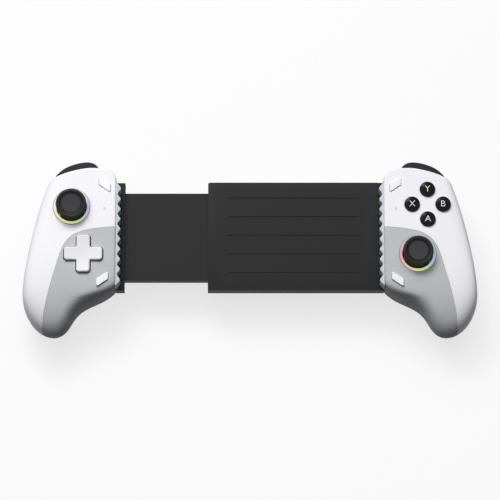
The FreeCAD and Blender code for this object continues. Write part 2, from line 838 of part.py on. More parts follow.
def dpad_rocker():
    """A bar across the post that rocks up and down; the cross rocks left and right on its rib."""
    top = rocker_top()
    rocker = box(dpad_x - rocker_width / 2, dpad_x + rocker_width / 2, dpad_y - rocker_length / 2,
                 dpad_y + rocker_length / 2, top - rocker_thickness, top)
    rib = rod_y(dpad_x, top, rocker_rib_radius - 0.02, dpad_y - rocker_length / 2 + 1.0,
                dpad_y + rocker_length / 2 - 1.0)
    legs = [rocker_leg(dpad_x, dpad_y + reach, top) for reach in (-rocker_leg_reach, rocker_leg_reach)]
    return rocker.fuse([rib] + legs)


def membrane_dome_top():
    return board_top + dome_height


def membrane(x, y, reach):
    """A rubber sheet on the board with four hollow domes round a centre."""
    sheet = rod_z(x, y, reach - 1.0, board_top, board_top + membrane_thickness)
    domes = []
    hollows = []
    for turn in range(4):
        angle = math.pi / 2 * turn
        place = (x + reach * math.cos(angle), y + reach * math.sin(angle))
        sheet = sheet.fuse(rod_z(place[0], place[1], dome_base_radius + 0.6, board_top,
                                 board_top + membrane_thickness))
        domes.append(dome_cone(place, 0.0))
        hollows.append(dome_cone(place, membrane_thickness))
    return sheet.fuse(domes).cut(hollows)


def dome_cone(place, thickness):
    """A dome's outer form, or its hollow when a thickness is given."""
    height = membrane_dome_top() - board_top - thickness
    return Part.makeCone(dome_base_radius - thickness, dome_top_radius - thickness, height,
                         V(place[0], place[1], board_top))


def dpad_membrane():
    """The membrane has a round hole in the middle for the pivot post."""
    hole = rod_z(dpad_x, dpad_y, rocker_nub_radius + fit_gap, 0, far)
    return membrane(dpad_x, dpad_y, rocker_leg_reach).cut(hole)


def dpad_post():
    """A post on the board whose round head carries the rocker."""
    top = rocker_top() - rocker_thickness
    post = rod_z(dpad_x, dpad_y, rocker_nub_radius, board_top, top - rocker_nub_radius)
    return post.fuse(Part.makeSphere(rocker_nub_radius, V(dpad_x, dpad_y, top - rocker_nub_radius - 0.05)))


def face_button(x, y):
    crown = button_height - button_dome
    flange_top = inner_face - flange_drop - face_height
    top = face_height + button_height
    points = [V(x, y, top), V(x + button_radius * 0.6, y, top - 0.25),
              V(x + button_radius - 0.35, y, face_height + crown)]
    arc = Part.Arc(*points).toShape()
    profile = [(button_radius - 0.35, crown), (button_radius, crown - 0.4), (button_radius, flange_top),
               (button_flange_radius, flange_top),
               (button_flange_radius, flange_top - button_flange_thickness),
               (button_stem_radius, flange_top - button_flange_thickness),
               (button_stem_radius, membrane_dome_top() + 0.2 - face_height),
               (0, membrane_dome_top() + 0.2 - face_height), (0, button_height)]
    rim = Part.makePolygon([V(x + radius, y, face_height + height) for radius, height in profile])
    face = Part.Face(Part.Wire(Part.__sortEdges__([arc] + rim.Edges)))
    return face.revolve(V(x, y, 0), V(0, 0, 1), 360)


def small_button(place):
    x, y, _ = place
    flange_top = inner_face - flange_drop
    cap = small_button_prism(place, 0, flange_top - small_flange_thickness, face_height + small_height)
    rim = [edge for edge in cap.Edges if edge.BoundBox.ZMin > face_height + small_height - 0.01]
    cap = cap.makeFillet(0.4, rim)
    flange = small_button_prism(place, small_gap + small_flange, flange_top - small_flange_thickness,
                                flange_top)
    stem = rod_z(x, y, small_stem_radius, board_top + switch_height + 0.35, flange_top)
    return cap.fuse(flange).fuse(stem)


def board_switch(x, y):
    half = switch_size / 2
    body = box(x - half, x + half, y - half, y + half, board_top, board_top + switch_height - 0.4)
    return body.fuse(rod_z(x, y, 1.1, board_top, board_top + switch_height))


def bumper_switch():
    """A side-push switch behind the shoulder button's push arm."""
    y1 = bumper_pivot_y - 5.2
    z = bumper_arm_bottom + 1.0
    body = box(bumper_push_x - 1.8, bumper_push_x + 1.8, y1 - 3.0, y1, board_top, z + 0.7)
    return body.fuse(rod_y(bumper_push_x, z, 0.7, y1 - 1.0, y1 + 0.9))


# Shoulder button and trigger

def arm_end(x):
    """How far an arm at x runs into the shoulder button's bar."""
    for (x0, y0), (x1, y1) in zip(top_edge, top_edge[1:]):
        if x1 <= x <= x0:
            return y0 + (y1 - y0) * (x - x0) / (x1 - x0) + bumper_gap + bumper_arm_overlap
    return top_edge[-1][1] + bumper_arm_overlap


def bumper():
    """A curved bar along the top edge, hinged at its inner end, with an arm to its switch."""
    top = face_height - bumper_top_drop
    back = [(x, y + bumper_gap) for x, y in top_edge[1:]]
    back[-1] = (bumper_outline[-1][0], bumper_outline[-1][1])
    outline = [curve_through(bumper_outline, bumper_bottom_z),
               curve_through(back, bumper_bottom_z)]
    first = V(bumper_outline[0][0], bumper_outline[0][1], bumper_bottom_z)
    back_start = V(back[0][0], back[0][1], bumper_bottom_z)
    outline.append(Part.makeLine(first, back_start))
    bar = Part.Face(Part.Wire(Part.__sortEdges__(outline))).extrude(V(0, 0, top - bumper_bottom_z))
    crown = [edge for edge in bar.Edges if edge.BoundBox.ZMin > top - 0.01
             and edge.BoundBox.YMax > top_edge[3][1] + 2.0]
    bar = bar.makeFillet(bumper_round, crown)
    half = bumper_arm_width / 2
    hinge = rod_z(bumper_pivot_x, bumper_pivot_y, half, bumper_arm_bottom, bumper_arm_top)
    hinge = hinge.fuse(box(bumper_pivot_x - half, bumper_pivot_x + half, bumper_pivot_y,
                           arm_end(bumper_pivot_x), bumper_arm_bottom, bumper_arm_top))
    push = box(bumper_push_x - bumper_push_width / 2, bumper_push_x + bumper_push_width / 2,
               bumper_pivot_y - 3.4, arm_end(bumper_push_x), bumper_arm_bottom, bumper_arm_top)
    hole = rod_z(bumper_pivot_x, bumper_pivot_y, bumper_post_radius + shaft_gap, 0, far)
    return bar.fuse([hinge, push]).cut(hole)


def trigger():
    """A curved paddle on a hub, drawn from the side and widened along X."""
    x0 = trigger_x0
    y = trigger_pin_y
    z = trigger_pin_z
    hub = rod_x(y, z, trigger_hub_radius, x0, trigger_x1)
    top_back = V(x0, y, trigger_top_z)
    top_front = V(x0, trigger_front_y - 1.5, trigger_top_z)
    shoulder = V(x0, trigger_front_y, trigger_top_z - 2.0)
    tip = V(x0, trigger_tip_y, trigger_tip_z)
    tip_end = V(x0, trigger_tip_y - 1.9, trigger_tip_z - 2.6)
    tip_back = V(x0, trigger_tip_y - 4.2, trigger_tip_z - 1.4)
    inner = V(x0, y + 3.0, z - 4.0)
    edges = [
        Part.makeLine(top_back, top_front),
        Part.Arc(top_front, V(x0, trigger_front_y - 0.4, trigger_top_z - 0.6), shoulder).toShape(),
        Part.Arc(shoulder, V(x0, trigger_front_y + 0.6, (trigger_top_z + trigger_tip_z) / 2), tip).toShape(),
        Part.Arc(tip, tip_end, tip_back).toShape(),
        Part.Arc(tip_back, V(x0, trigger_front_y - 3.2, (z + trigger_tip_z) / 2 - 1.0), inner).toShape(),
        Part.makeLine(inner, top_back),
    ]
    paddle = Part.Face(Part.Wire(edges)).extrude(V(trigger_x1 - x0, 0, 0))
    flanks = [edge for edge in paddle.Edges if is_flank(edge, y)]
    paddle = paddle.makeFillet(1.6, flanks)
    hole = rod_x(y, z, trigger_pin_radius + shaft_gap, 0, far)
    return paddle.fuse(hub).cut([hole, spring_room()])


def is_flank(edge, y):
    """True for the curved side edges of the paddle's front."""
    if edge.BoundBox.XLength > 0.01:
        return False
    return edge.CenterOfMass.y > y + 8.5


def spring_room():
    """The end of the hub is cut back for the return spring."""
    return rod_x(trigger_pin_y, trigger_pin_z, trigger_hub_radius + 0.6, trigger_x0 - 1.0,
                 trigger_x0 + spring_turns * spring_pitch + 0.6)


def trigger_pin():
    reach = trigger_side_gap + trigger_rib
    return rod_x(trigger_pin_y, trigger_pin_z, trigger_pin_radius, trigger_x0 - reach, trigger_x1 + reach)


def trigger_spring():
    """Torsion spring round the pin: a few turns with one straight leg along each end."""
    length = spring_turns * spring_pitch
    helix = Part.makeHelix(spring_pitch, length, spring_radius)
    helix.rotate(V(0, 0, 0), V(0, 1, 0), 90)
    helix.translate(V(trigger_x0 - 0.1, trigger_pin_y, trigger_pin_z))
    start = helix.Vertexes[0].Point
    section = Part.Wire([Part.Circle(start, V(0, 1, 0), spring_wire).toShape()])
    return Part.Wire(helix.Edges).makePipeShell([section], True, False)


# Inside

def board(side):
    """A board with its lower outer corner left free for the motor, and holes round the screw posts."""
    corners = [V(x, y, board_bottom) for x, y in board_corners]
    plate = Part.Face(rounded_polygon(corners, board_round)).extrude(V(0, 0, board_thickness))
    rooms = [rod_z(x, y, screw_post_radius + 0.4, 0, far) for x, y in screw_places]
    plate = plate.cut(rooms)
    if side == LEFT:
        return plate.fuse(dpad_post())
    return plate


def battery():
    body = box(battery_x - battery_width / 2, battery_x + battery_width / 2, battery_y - battery_length / 2,
               battery_y + battery_length / 2, battery_floor, battery_floor + battery_thickness)
    long_edges = [edge for edge in body.Edges if abs(edge.Length - battery_length) < 0.01]
    return body.makeFillet(2.5, long_edges)


def motor():
    body = rod_y(motor_x, motor_z, motor_radius, motor_y0, motor_y0 + motor_length)
    shaft = rod_y(motor_x, motor_z, motor_shaft_radius, motor_y0 + motor_length,
                  motor_y0 + motor_length + 0.8 + weight_thickness)
    return body.fuse(shaft)


def motor_weight():
    y0 = motor_y0 + motor_length + 0.6
    disc = rod_y(motor_x, motor_z, weight_radius, y0, y0 + weight_thickness)
    disc = disc.common(box(0, far, -far, far, 0, motor_z + 0.6))
    hub = rod_y(motor_x, motor_z, 2.2, y0, y0 + weight_thickness)
    return disc.fuse(hub).cut(rod_y(motor_x, motor_z, motor_shaft_radius + shaft_gap, -far, far))


def indicator():
    return rod_z(indicator_x, indicator_y, indicator_radius, board_top + 0.1, face_height + 0.05)


def phone_pad():
    """A rubber strip with a wavy face on a handle's inner wall."""
    points = []
    count = pad_waves * 2
    for step in range(count + 1):
        reach = pad_trough if step % 2 == 0 else pad_crest
        points.append((inner_wall_x - reach, pad_first_y + pad_pitch * (step / 2.0)))
    last = points[-1]
    edges = [curve_through(points, pad_bottom_z)]
    corners = [V(inner_wall_x, points[0][1] - 1.0, pad_bottom_z), V(points[0][0], points[0][1], pad_bottom_z)]
    edges.append(Part.makeLine(corners[0], corners[1]))
    top = V(inner_wall_x, pad_tip_y, pad_bottom_z)
    edges.append(Part.makeLine(V(last[0], last[1], pad_bottom_z), top))
    edges.append(Part.makeLine(top, corners[0]))
    return Part.Face(Part.Wire(Part.__sortEdges__(edges))).extrude(V(0, 0, pad_top_z - pad_bottom_z))


def charging_socket():
    z1 = board_bottom - shaft_gap
    z0 = z1 - socket_height
    x0 = socket_x - socket_width / 2
    x1 = socket_x + socket_width / 2
    shell = box(x0, x1, socket_back_y, socket_mouth_y, z0, z1)
    depth = socket_mouth_y - socket_back_y
    long_edges = [edge for edge in shell.Edges if abs(edge.Length - depth) < 0.01]
    shell = shell.makeFillet(socket_height / 2 - 0.1, long_edges)
    room = box(x0 + socket_wall, x1 - socket_wall, socket_back_y + 2.0, far,
               z0 + socket_wall, z1 - socket_wall)
    room = room.makeFillet(socket_height / 2 - 0.45, [edge for edge in room.Edges if edge.Length > 20.0])
    tongue = box(socket_x - 3.3, socket_x + 3.3, socket_back_y, socket_mouth_y - 1.0,
                 (z0 + z1) / 2 - 0.35, (z0 + z1) / 2 + 0.35)
    return shell.cut(room).fuse(tongue)


# Bridge

def bridge_plate(x0, x1, z0, z1, round_back, round_front):
    """A flat bar as wide as the bridge, its long edges rounded at the back or the front."""
    plate = box(x0, x1, bay_center_y - bridge_half_width, bay_center_y + bridge_half_width, z0, z1)
    for z, radius in ((z0, round_back), (z1, round_front)):
        if radius:
            long_edges = [edge for edge in plate.Edges if edge.BoundBox.YLength < 0.01
                          and edge.BoundBox.ZLength < 0.01 and abs(edge.CenterOfMass.z - z) < 0.01]
            plate = plate.makeFillet(radius, long_edges)
    return plate


def groove_places():
    """Middle Y of the two spring grooves beside the slide."""
    offset = tongue_half_width + groove_width / 2
    return [bay_center_y - offset, bay_center_y + offset]


def bridge_screw_places():
    places = []
    for x in (sleeve_end_x + 5.0, (channel_end_x + inner_wall_x) / 2):
        for y in (bay_center_y - tongue_half_width - 3.6, bay_center_y + tongue_half_width + 3.6):
            places.append((x, y))
    return places


def bridge_sleeve():
    cover_z = bridge_front_z - cover_thickness
    sleeve = bridge_plate(sleeve_end_x, inner_wall_x, bridge_back_z, cover_z, bridge_round, 0)
    floor_z = bridge_back_z + channel_floor
    cuts = [box(sleeve_end_x - 1.0, channel_end_x, bay_center_y - tongue_half_width - fit_gap,
                bay_center_y + tongue_half_width + fit_gap, floor_z, far)]
    for y in groove_places():
        cuts.append(box(0.0, channel_end_x, y - groove_width / 2, y + groove_width / 2, floor_z, far))
    for x, y in bridge_screw_places():
        cuts.append(rod_z(x, y, bridge_screw_radius + press_gap, 0, far))
        cuts.append(rod_z(x, y, bridge_screw_head + fit_gap, 0, bridge_back_z + 1.4))
    return sleeve.cut(cuts)


def bridge_cover():
    cover_z = bridge_front_z - cover_thickness
    cover = bridge_plate(sleeve_end_x, inner_wall_x, cover_z, bridge_front_z, 0, 1.2)
    hole_top = bridge_front_z - 0.5
    holes = [rod_z(x, y, bridge_screw_radius + press_gap, 0, hole_top) for x, y in bridge_screw_places()]
    bed_end = inner_wall_x - pad_crest - bed_pad_gap
    step = box(bed_end, inner_wall_x, -far, far, bridge_front_z - bed_step, far)
    return cover.cut(holes + [step])


def bridge_screws():
    screws = []
    for x, y in bridge_screw_places():
        head = rod_z(x, y, bridge_screw_head, bridge_back_z + 0.4, bridge_back_z + 1.4)
        screws.append(head.fuse(rod_z(x, y, bridge_screw_radius, bridge_back_z + 1.4, bridge_front_z - 0.7)))
    return screws


def bridge_slide():
    """The left handle's half: a flange at the wall, a tenon into it and the tongue with its spring lugs."""
    cover_z = bridge_front_z - cover_thickness
    z0 = bridge_back_z + channel_floor + fit_gap
    z1 = cover_z - fit_gap
    flange = bridge_plate(-inner_wall_x, -inner_wall_x + flange_length, bridge_back_z, bridge_front_z,
                          bridge_round, 1.2)
    tongue = box(-inner_wall_x + 1.0, tongue_tip_x, bay_center_y - tongue_half_width,
                 bay_center_y + tongue_half_width, z0, z1)
    tenon = box(-inner_wall_x - tenon_length, -inner_wall_x + 1.0, bay_center_y - tenon_half_width,
                bay_center_y + tenon_half_width, tenon_bottom(), tenon_bottom() + tenon_thickness)
    lug_reach = tongue_half_width + groove_width - fit_gap
    lugs = box(tongue_tip_x - lug_length, tongue_tip_x, bay_center_y - lug_reach,
               bay_center_y + lug_reach, z0, z1)
    slide = flange.fuse([tongue, tenon, lugs])
    ribs = []
    for offset in (-16.0, 0.0, 16.0):
        ribs.append(box(-inner_wall_x + flange_length + 3.0, tongue_tip_x - 6.0, bay_center_y + offset - 3.5,
                        bay_center_y + offset + 3.5, 0, z0 + 0.6))
    return slide.cut(ribs)


def return_springs():
    springs = []
    z = bridge_back_z + channel_floor + fit_gap + spring_tube_radius
    for y in groove_places():
        tube = rod_x(y, z, spring_tube_radius, tongue_tip_x + 0.2, channel_end_x - 0.1)
        springs.append(tube.cut(rod_x(y, z, spring_tube_bore, 0, far)))
    return springs


def export_handle(name, side):
    front, panel, rear = build_shells(side)
    export(name + "_front_shell", mirrored(front, side))
    export(name + "_front_panel", mirrored(panel, side))
    export(name + "_rear_shell", mirrored(rear, side))
    screws = case_screws() + (bridge_screws() if side == RIGHT else [])
    export(name + "_screws", *[mirrored(screw, side) for screw in screws])
    export(name + "_bumper", mirrored(bumper(), side))
    export(name + "_trigger", mirrored(trigger(), side))
    export(name + "_trigger_pin", mirrored(trigger_pin(), side))
    export(name + "_trigger_spring", mirrored(trigger_spring(), side))
    export(name + "_circuit_board", mirrored(board(side), side))
    export(name + "_vibration_motor", mirrored(motor(), side))
    export(name + "_motor_weight", mirrored(motor_weight(), side))
    export(name + "_indicator", mirrored(indicator(), side))
    export(name + "_phone_pad", mirrored(phone_pad(), side))
    export(name + "_upper_button", mirrored(small_button(upper_small), side))
    export(name + "_lower_button", mirrored(small_button(lower_small), side))
    switches = [board_switch(place[0], place[1]) for place in (upper_small, lower_small)]
    switches.append(bumper_switch())
    export(name + "_switches", *[mirrored(switch, side) for switch in switches])


def main():
    os.makedirs("parts", exist_ok=True)
    export_handle("left", LEFT)
    export_handle("right", RIGHT)
    export_stick("left", left_stick_x, left_stick_y, LEFT)
    export_stick("right", right_stick_x, right_stick_y, RIGHT)
    export("dpad", mirrored(dpad(), LEFT))
    export("dpad_rocker", mirrored(dpad_rocker(), LEFT))
    export("dpad_membrane", mirrored(dpad_membrane(), LEFT))
    for name, x, y in face_button_places():
        export(name, face_button(x, y))
    export("face_button_membrane", membrane(face_cluster_x, face_cluster_y, face_cluster_radius))
    export("battery", mirrored(battery(), LEFT))
    export("charging_socket", charging_socket())
    export("bridge_sleeve", bridge_sleeve())
    export("bridge_cover", bridge_cover())
    export("bridge_slide", bridge_slide())
    export("return_springs", *return_springs())


main()
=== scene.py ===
import json
import math

import bmesh
import bpy
import numpy as np
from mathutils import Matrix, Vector

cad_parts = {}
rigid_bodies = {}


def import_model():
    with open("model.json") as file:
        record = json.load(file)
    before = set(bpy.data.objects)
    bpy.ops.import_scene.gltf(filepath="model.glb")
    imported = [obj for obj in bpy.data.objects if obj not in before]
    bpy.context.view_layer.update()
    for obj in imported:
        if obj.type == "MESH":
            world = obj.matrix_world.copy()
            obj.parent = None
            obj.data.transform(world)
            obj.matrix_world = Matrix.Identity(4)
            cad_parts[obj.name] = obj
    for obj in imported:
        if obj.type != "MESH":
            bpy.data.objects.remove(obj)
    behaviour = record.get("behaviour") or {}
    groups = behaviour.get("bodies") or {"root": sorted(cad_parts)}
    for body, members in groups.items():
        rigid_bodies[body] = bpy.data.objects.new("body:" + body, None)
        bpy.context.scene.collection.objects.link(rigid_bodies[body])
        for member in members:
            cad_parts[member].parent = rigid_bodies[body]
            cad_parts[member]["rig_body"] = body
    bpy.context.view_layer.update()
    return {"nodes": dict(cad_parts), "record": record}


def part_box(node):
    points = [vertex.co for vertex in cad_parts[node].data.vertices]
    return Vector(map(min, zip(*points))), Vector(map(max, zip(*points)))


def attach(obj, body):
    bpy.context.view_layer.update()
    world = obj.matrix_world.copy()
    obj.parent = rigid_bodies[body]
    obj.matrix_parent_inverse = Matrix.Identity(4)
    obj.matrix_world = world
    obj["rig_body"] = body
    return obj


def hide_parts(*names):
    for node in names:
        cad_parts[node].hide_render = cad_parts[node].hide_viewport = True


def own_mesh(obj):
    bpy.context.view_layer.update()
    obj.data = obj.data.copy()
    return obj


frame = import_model()

# The looks of a telescoping gamepad. Shapes are worked out in millimetres and made in metres.
# Pieces of a handle are drawn on the right side (X > 0) and mirrored for the left one.
# Cutters reach to far, past every piece; hair is small enough not to show.
MM = 0.001
LEFT = -1
RIGHT = 1
SIDES = {"left": LEFT, "right": RIGHT}
far = 200.0
hair = 0.01

# Handle form: stations along Y (y, outer x, inner x, front z, parting z, back z)
face_height = 41.0
wall = 2.2
inner_wall_x = 82.7
inner_face = face_height - wall
seam_gap = 0.12
grip_stations = [
    (60.0, 117.0, 74.0, 41.0, 27.0, 20.0),
    (49.0, 120.6, 74.0, 41.0, 27.0, 8.0),
    (40.0, 124.6, 74.0, 41.0, 27.0, 0.2),
    (31.0, 128.0, 74.0, 41.0, 27.0, -1.2),
    (20.0, 131.3, 74.0, 41.0, 26.5, 5.0),
    (8.0, 134.3, 74.0, 41.0, 26.0, 3.6),
    (-4.0, 136.9, 74.0, 41.0, 25.5, 0.0),
    (-14.0, 138.7, 75.0, 41.0, 25.0, -1.4),
    (-21.5, 139.7, 77.5, 40.8, 24.5, -0.7),
    (-27.5, 140.2, 82.2, 40.5, 24.0, 0.8),
    (-31.5, 140.3, 88.0, 40.1, 23.6, 2.4),
    (-34.5, 140.1, 96.0, 39.6, 23.3, 4.0),
    (-38.0, 139.4, 102.8, 38.9, 22.9, 6.0),
    (-42.8, 137.7, 107.3, 37.6, 22.4, 9.0),
    (-47.6, 135.0, 109.9, 35.6, 22.0, 12.4),
    (-51.9, 131.2, 112.4, 32.6, 21.7, 15.8),
    (-54.9, 126.7, 115.6, 28.6, 21.5, 18.6),
    (-56.1, 122.1, 119.6, 24.2, 21.5, 20.3),
]
bulge_x = 107.0
tip_x = 120.8
tip_blend = (-20.0, -52.0)
front_blend = (-26.0, -33.5)
inset_blend = (-12.0, -28.0)
quarter_poles = 6
quarter_powers = (6.0, 9.0, 1.7, 2.3)
least_reach = 0.4
middle_room = 1.0
grip_power = 2.4
edge_round = 1.0
top_edge = [(133.0, 33.0), (120.1, 42.3), (108.3, 46.4), (98.5, 48.0), (91.0, 47.5)]
top_corner = [(91.0, 47.5), (85.3, 45.9), (82.7, 40.8)]
top_wall = 3.2
split_line = [(78.0, 10.6), (96.3, 8.9), (104.5, 7.0), (110.6, 3.6), (115.0, -2.2), (118.7, -13.1),
              (121.7, -23.7), (125.1, -37.5), (127.1, -49.0), (127.6, -62.0)]

# Fineness of the handle's form: rings and points round them, and the sides of the voxels
form_along = 601
form_around = 720
form_row = 0.5
grip_step = 0.2
form_step = 0.15
least_steepness = 0.05
body_mesh = (96, 120)
inside_mesh = (64, 80)
voxel_full = 0.8
smooth_turns = 3
least_slope = 0.3
skin_depth = 0.03
skin_turn = 0.7

# Angles in degrees from which a smooth piece shows a crease or gets a rounded edge
crease = 30.0
wide_crease = 40.0
coil_crease = 60.0
bevel_angle = 50.0
pad_bevel_angle = 60.0

# Cells that domed and dished tops are cut into: their size, and the grid's shift in cells
dpad_cell = 0.8
small_cell = 1.0
letter_cell = 0.4
cell_shift = 0.37

# Controls
stick_places = {"left": (110.0, 22.9), "right": (103.0, -7.2)}
ring_outer = 11.55
ring_gap = 0.05
ring_profile = [(9.5, -2.0), (9.5, -0.25), (9.62, -0.12), (11.2, 0.26), (11.43, 0.24), (11.55, 0.1),
                (11.55, -3.1), (12.5, -3.1), (12.5, -4.7), (11.0, -4.7), (11.0, -2.4)]
ring_glow = 0.75
# Radii over which the ring's glow is dimmed at its outer lip, and the share of the glow left there: painted
# shade of the gap round the ring.
ring_shaded_lip = (10.9, 11.5)
painted_lip_shade = 0.15
dpad_place = (102.4, -7.4)
dpad_span = 23.6
dpad_arm = 8.3
dpad_height = 2.4
dpad_corner = 1.9
dpad_inner_corner = 0.7
dpad_dish = 0.6
dpad_round = 0.9
dpad_gap = 0.6
dpad_bottom = 37.4
cluster_place = (109.5, 24.3)
cluster_radius = 9.55
button_radius = 4.68
button_gap = 0.17
button_height = 1.9
button_crown = 0.45
button_rim = 0.5
flange_drop = 0.9
flange_reach = 0.6
flange_thickness = 1.2
letter_size = 5.7
letter_thinning = -0.07
letter_proud = 0.03
letter_root = 0.08
small_places = {"upper_button": (89.7, 36.9, 4.8), "lower_button": (90.6, -23.4, -4.8)}
small_width = 7.2
small_side = 5.1
small_corner = 0.7
small_height = 0.7
small_gap = 0.2
small_round = 0.35
small_foot = 1.8
indicator_place = (89.8, 21.9)
indicator_radius = 0.9
screw_places = [(121.2, 33.8), (132.0, -10.0), (88.2, 27.4), (101.0, -28.2), (120.6, -47.0)]
screw_hole_radius = 2.3
screw_seat_z = 19.5
post_radius = 3.0
post_proud = 1.5
hole_chamfer = 0.2
board_top = 27.0
trigger_x = (95.6, 117.8)
trigger_top = 30.4
notch_y = 38.0
notch_gap = (0.5, 0.8)
bumper_recess = 1.3
bumper_recess_z = (31.2, 39.5)
bumper_recess_x = (92.2, 121.4)
arm_windows_x = ((94.2, 100.4), (114.2, 118.2))
arm_window_z = (33.3, 36.9)
bumper_outline = [(120.4, 42.5), (117.4, 46.2), (112.0, 49.6), (104.8, 51.8), (98.8, 52.0), (95.6, 50.6),
                  (93.8, 48.4)]
bumper_z = (31.6, 39.3)
bumper_gap = 0.25
bumper_bend = 1.5
bumper_foot = 0.5
bumper_ease = 0.15
bumper_bend_share = 0.7
bumper_foot_share = 0.3
bumper_pivot = (97.0, 42.6)
bumper_bore = 1.3
bumper_push_x = 116.2
bumper_arm = (4.4, 3.0)
bumper_arm_z = (33.6, 36.6)
bumper_arm_overlap = 2.0
push_arm_drop = 3.4
trigger_pin = (41.6, 27.6)
trigger_hub = 3.2
trigger_bore = 1.05
trigger_room = (3.8, 99.2)
trigger_front = [(50.0, 30.4), (51.1, 29.8), (51.5, 28.4), (51.8, 24.0), (52.5, 19.0), (54.1, 13.6),
                 (56.3, 9.0)]
trigger_end = [(56.3, 7.6), (55.5, 6.6), (54.3, 6.4), (53.0, 6.9)]
trigger_back = [(52.1, 7.6), (50.4, 10.4), (48.9, 14.0), (47.2, 18.4), (44.6, 23.6), (41.6, 30.4)]
trigger_sweep = [(100.5, 95.6, 2.0, 4.5), (108.5, 117.8, 3.6, 6.5)]
trigger_taper = 0.1
trigger_round = 0.8
trigger_tip_sweep = 0.45

# Thumbstick caps: (radius, height over the cap's top) from the middle outwards and down to the neck
disc_radius = 5.9
disc_depth = 0.9
cap_height = 7.8
cap_disc = [(hair, -0.85), (2.0, -0.82), (4.0, -0.72), (5.3, -0.58), (5.9, -0.5), (6.02, -0.62), (6.2, -1.0)]
cap_rim = [(6.8, -0.95), (7.2, -0.45), (7.8, -0.08), (8.4, -0.02), (8.9, -0.2), (9.25, -0.55), (9.42, -1.0),
           (9.3, -1.45), (8.9, -1.75), (8.2, -1.95)]
cap_neck = [(6.8, -2.45), (4.4, -2.8), (4.0, -3.2), (4.0, -6.2), (hair, -6.2)]
pivot_z = 32.5
dome_radius = 10.5
dome_reach = 53.0
dome_wall = 0.9

# Phone pads, bridge and socket
pad_waves = 10
pad_pitch = 6.4
pad_start_y = -27.4
pad_first_y = -26.4
pad_crest = 2.9
pad_trough = 1.1
pad_tip_y = 41.0
pad_z = (29.6, 40.0)
pad_round = 0.35
bay_y = 7.2
bay_reach = 34.6
mouth_reach = 16.1
mouth_z = (20.6, 24.3)
socket_gap = 0.1
socket_corner = 1.6
socket_y = 30.0
cover_x = (-26.0, 82.7)
cover_z = (27.4, 29.0)
cover_corner = 1.2
cover_round = 0.6
cover_bed_end = 79.4
bed_step = 0.6
groove_count = 5
groove_pitch = 12.0
groove_width = 1.6
groove_depth = 0.35
groove_x = (-14.0, 68.0)
spring_rows = (-23.1, 37.5)
spring_x = (26.2, 77.4)
spring_z = 23.7
spring_radius = 1.9
spring_turns = 22
spring_steps = 16
wire = 0.3

# Finishes: colour from 0 to 255, roughness, grain and its depth in mm, change of tone, specular, metal
finishes = {
    "white_shell": ((240, 240, 245), 0.36, 0.25, 0.004, 0.012, 0.2),
    "grey_shell": ((190, 191, 194), 0.5, 0.22, 0.012, 0.02, 0.08),
    "rear_shell": ((184, 185, 188), 0.55, 0.3, 0.03, 0.02, 0.08),
    "black_plastic": ((31, 31, 33), 0.5, 0.3, 0.015, 0.08, 0.14),
    "button_black": ((9, 9, 11), 0.14, 0.6, 0.002, 0.1, 0.14),
    "button_white": ((240, 240, 244), 0.3, 0.25, 0.003, 0.012, 0.4),
    "cross_white": ((227, 227, 229), 0.3, 0.25, 0.003, 0.012, 0.4),
    "letter_white": ((238, 240, 240), 0.5, 0.3, 0.004, 0.03, 0.5),
    "stick_rubber": ((17, 17, 19), 0.38, 0.4, 0.01, 0.1, 0.22),
    "disc_rubber": ((58, 58, 60), 0.7, 0.3, 0.05, 0.08, 0.15),
    "pad_rubber": ((192, 199, 205), 0.5, 0.3, 0.02, 0.05, 0.5),
    "steel": ((176, 178, 182), 0.3, 0.2, 0.006, 0.04, 0.5, 1.0),
    "circuit_board": ((24, 84, 52), 0.4, 0.8, 0.02, 0.1, 0.5),
    "membrane": ((140, 142, 144), 0.7, 0.3, 0.02, 0.04, 0.5),
    "battery_wrap": ((120, 128, 140), 0.35, 1.2, 0.03, 0.05, 0.5, 0.6),
    "grey_acetal": ((96, 96, 99), 0.45, 0.3, 0.01, 0.04, 0.5),
    "light_guide": ((214, 215, 218), 0.3, 0.3, 0.004, 0.03, 0.5),
}
ring_finish = ((110, 112, 112), 0.45, 0.5, 0.02, 0.03, 0.2)
gloss_change = 0.06
broad_scale = 45.0
fine_detail = 3.0
broad_detail = 4.0
tone_span = (0.3, 0.7)
bump_strength = 0.5

# Glow of the light rings: (degrees around the stick, colour)
cream = (250, 240, 220)
pink = (245, 140, 150)
peach = (240, 205, 175)
lemon = (243, 243, 168)
lime = (225, 240, 158)
aqua = (195, 220, 205)
sky = (165, 198, 222)
slate = (140, 172, 200)
lilac = (178, 173, 219)
pearl = (246, 246, 249)
silver = (200, 200, 203)
ring_stops = {
    "left": [(-180, cream), (-138, lemon), (-90, lime), (-50, aqua), (0, lilac), (60, pearl), (179, cream)],
    "right": [(-180, pink), (-120, peach), (-95, lemon), (-70, lime), (-45, aqua), (-20, sky), (10, slate),
              (60, silver), (140, silver), (179, pink)],
}

# Light, floor and camera, in metres; the light comes from the sky's bright end
white = (1.0, 1.0, 1.0, 1.0)
sky_towards = (-0.15, 0.42, 0.895)
sky_span = (0.72, 1.0)
sky_strength = 2.62
key_place = (-0.25, 0.6, 0.95)
key_target = (0.0, 0.0, 0.03)
key_size = (0.5, 0.35)
key_power = 6.0
floor_half = 1.5
floor_drop = 0.0002
floor_bounce = (0.16, 0.16, 0.16, 1.0)
floor_white = (0.9, 0.9, 0.9, 1.0)
floor_glow = 0.75
camera_elevation = 74.5
camera_distance = 1.9
camera_y = -0.005
camera_span = 0.307
sensor = 36.0


def share(value, span):
    """0 before the span's start, 1 after its end, straight between them."""
    return min(1.0, max(0.0, (value - span[0]) / (span[1] - span[0])))


def signed_power(value, power):
    return math.copysign(abs(value) ** (2.0 / power), value)


def middle_x(station):
    """X of the line that a station's section is drawn around."""
    y, outer, inner = station[:3]
    middle = bulge_x + share(y, tip_blend) * (tip_x - bulge_x)
    return min(max(middle, inner + middle_room), outer - middle_room)


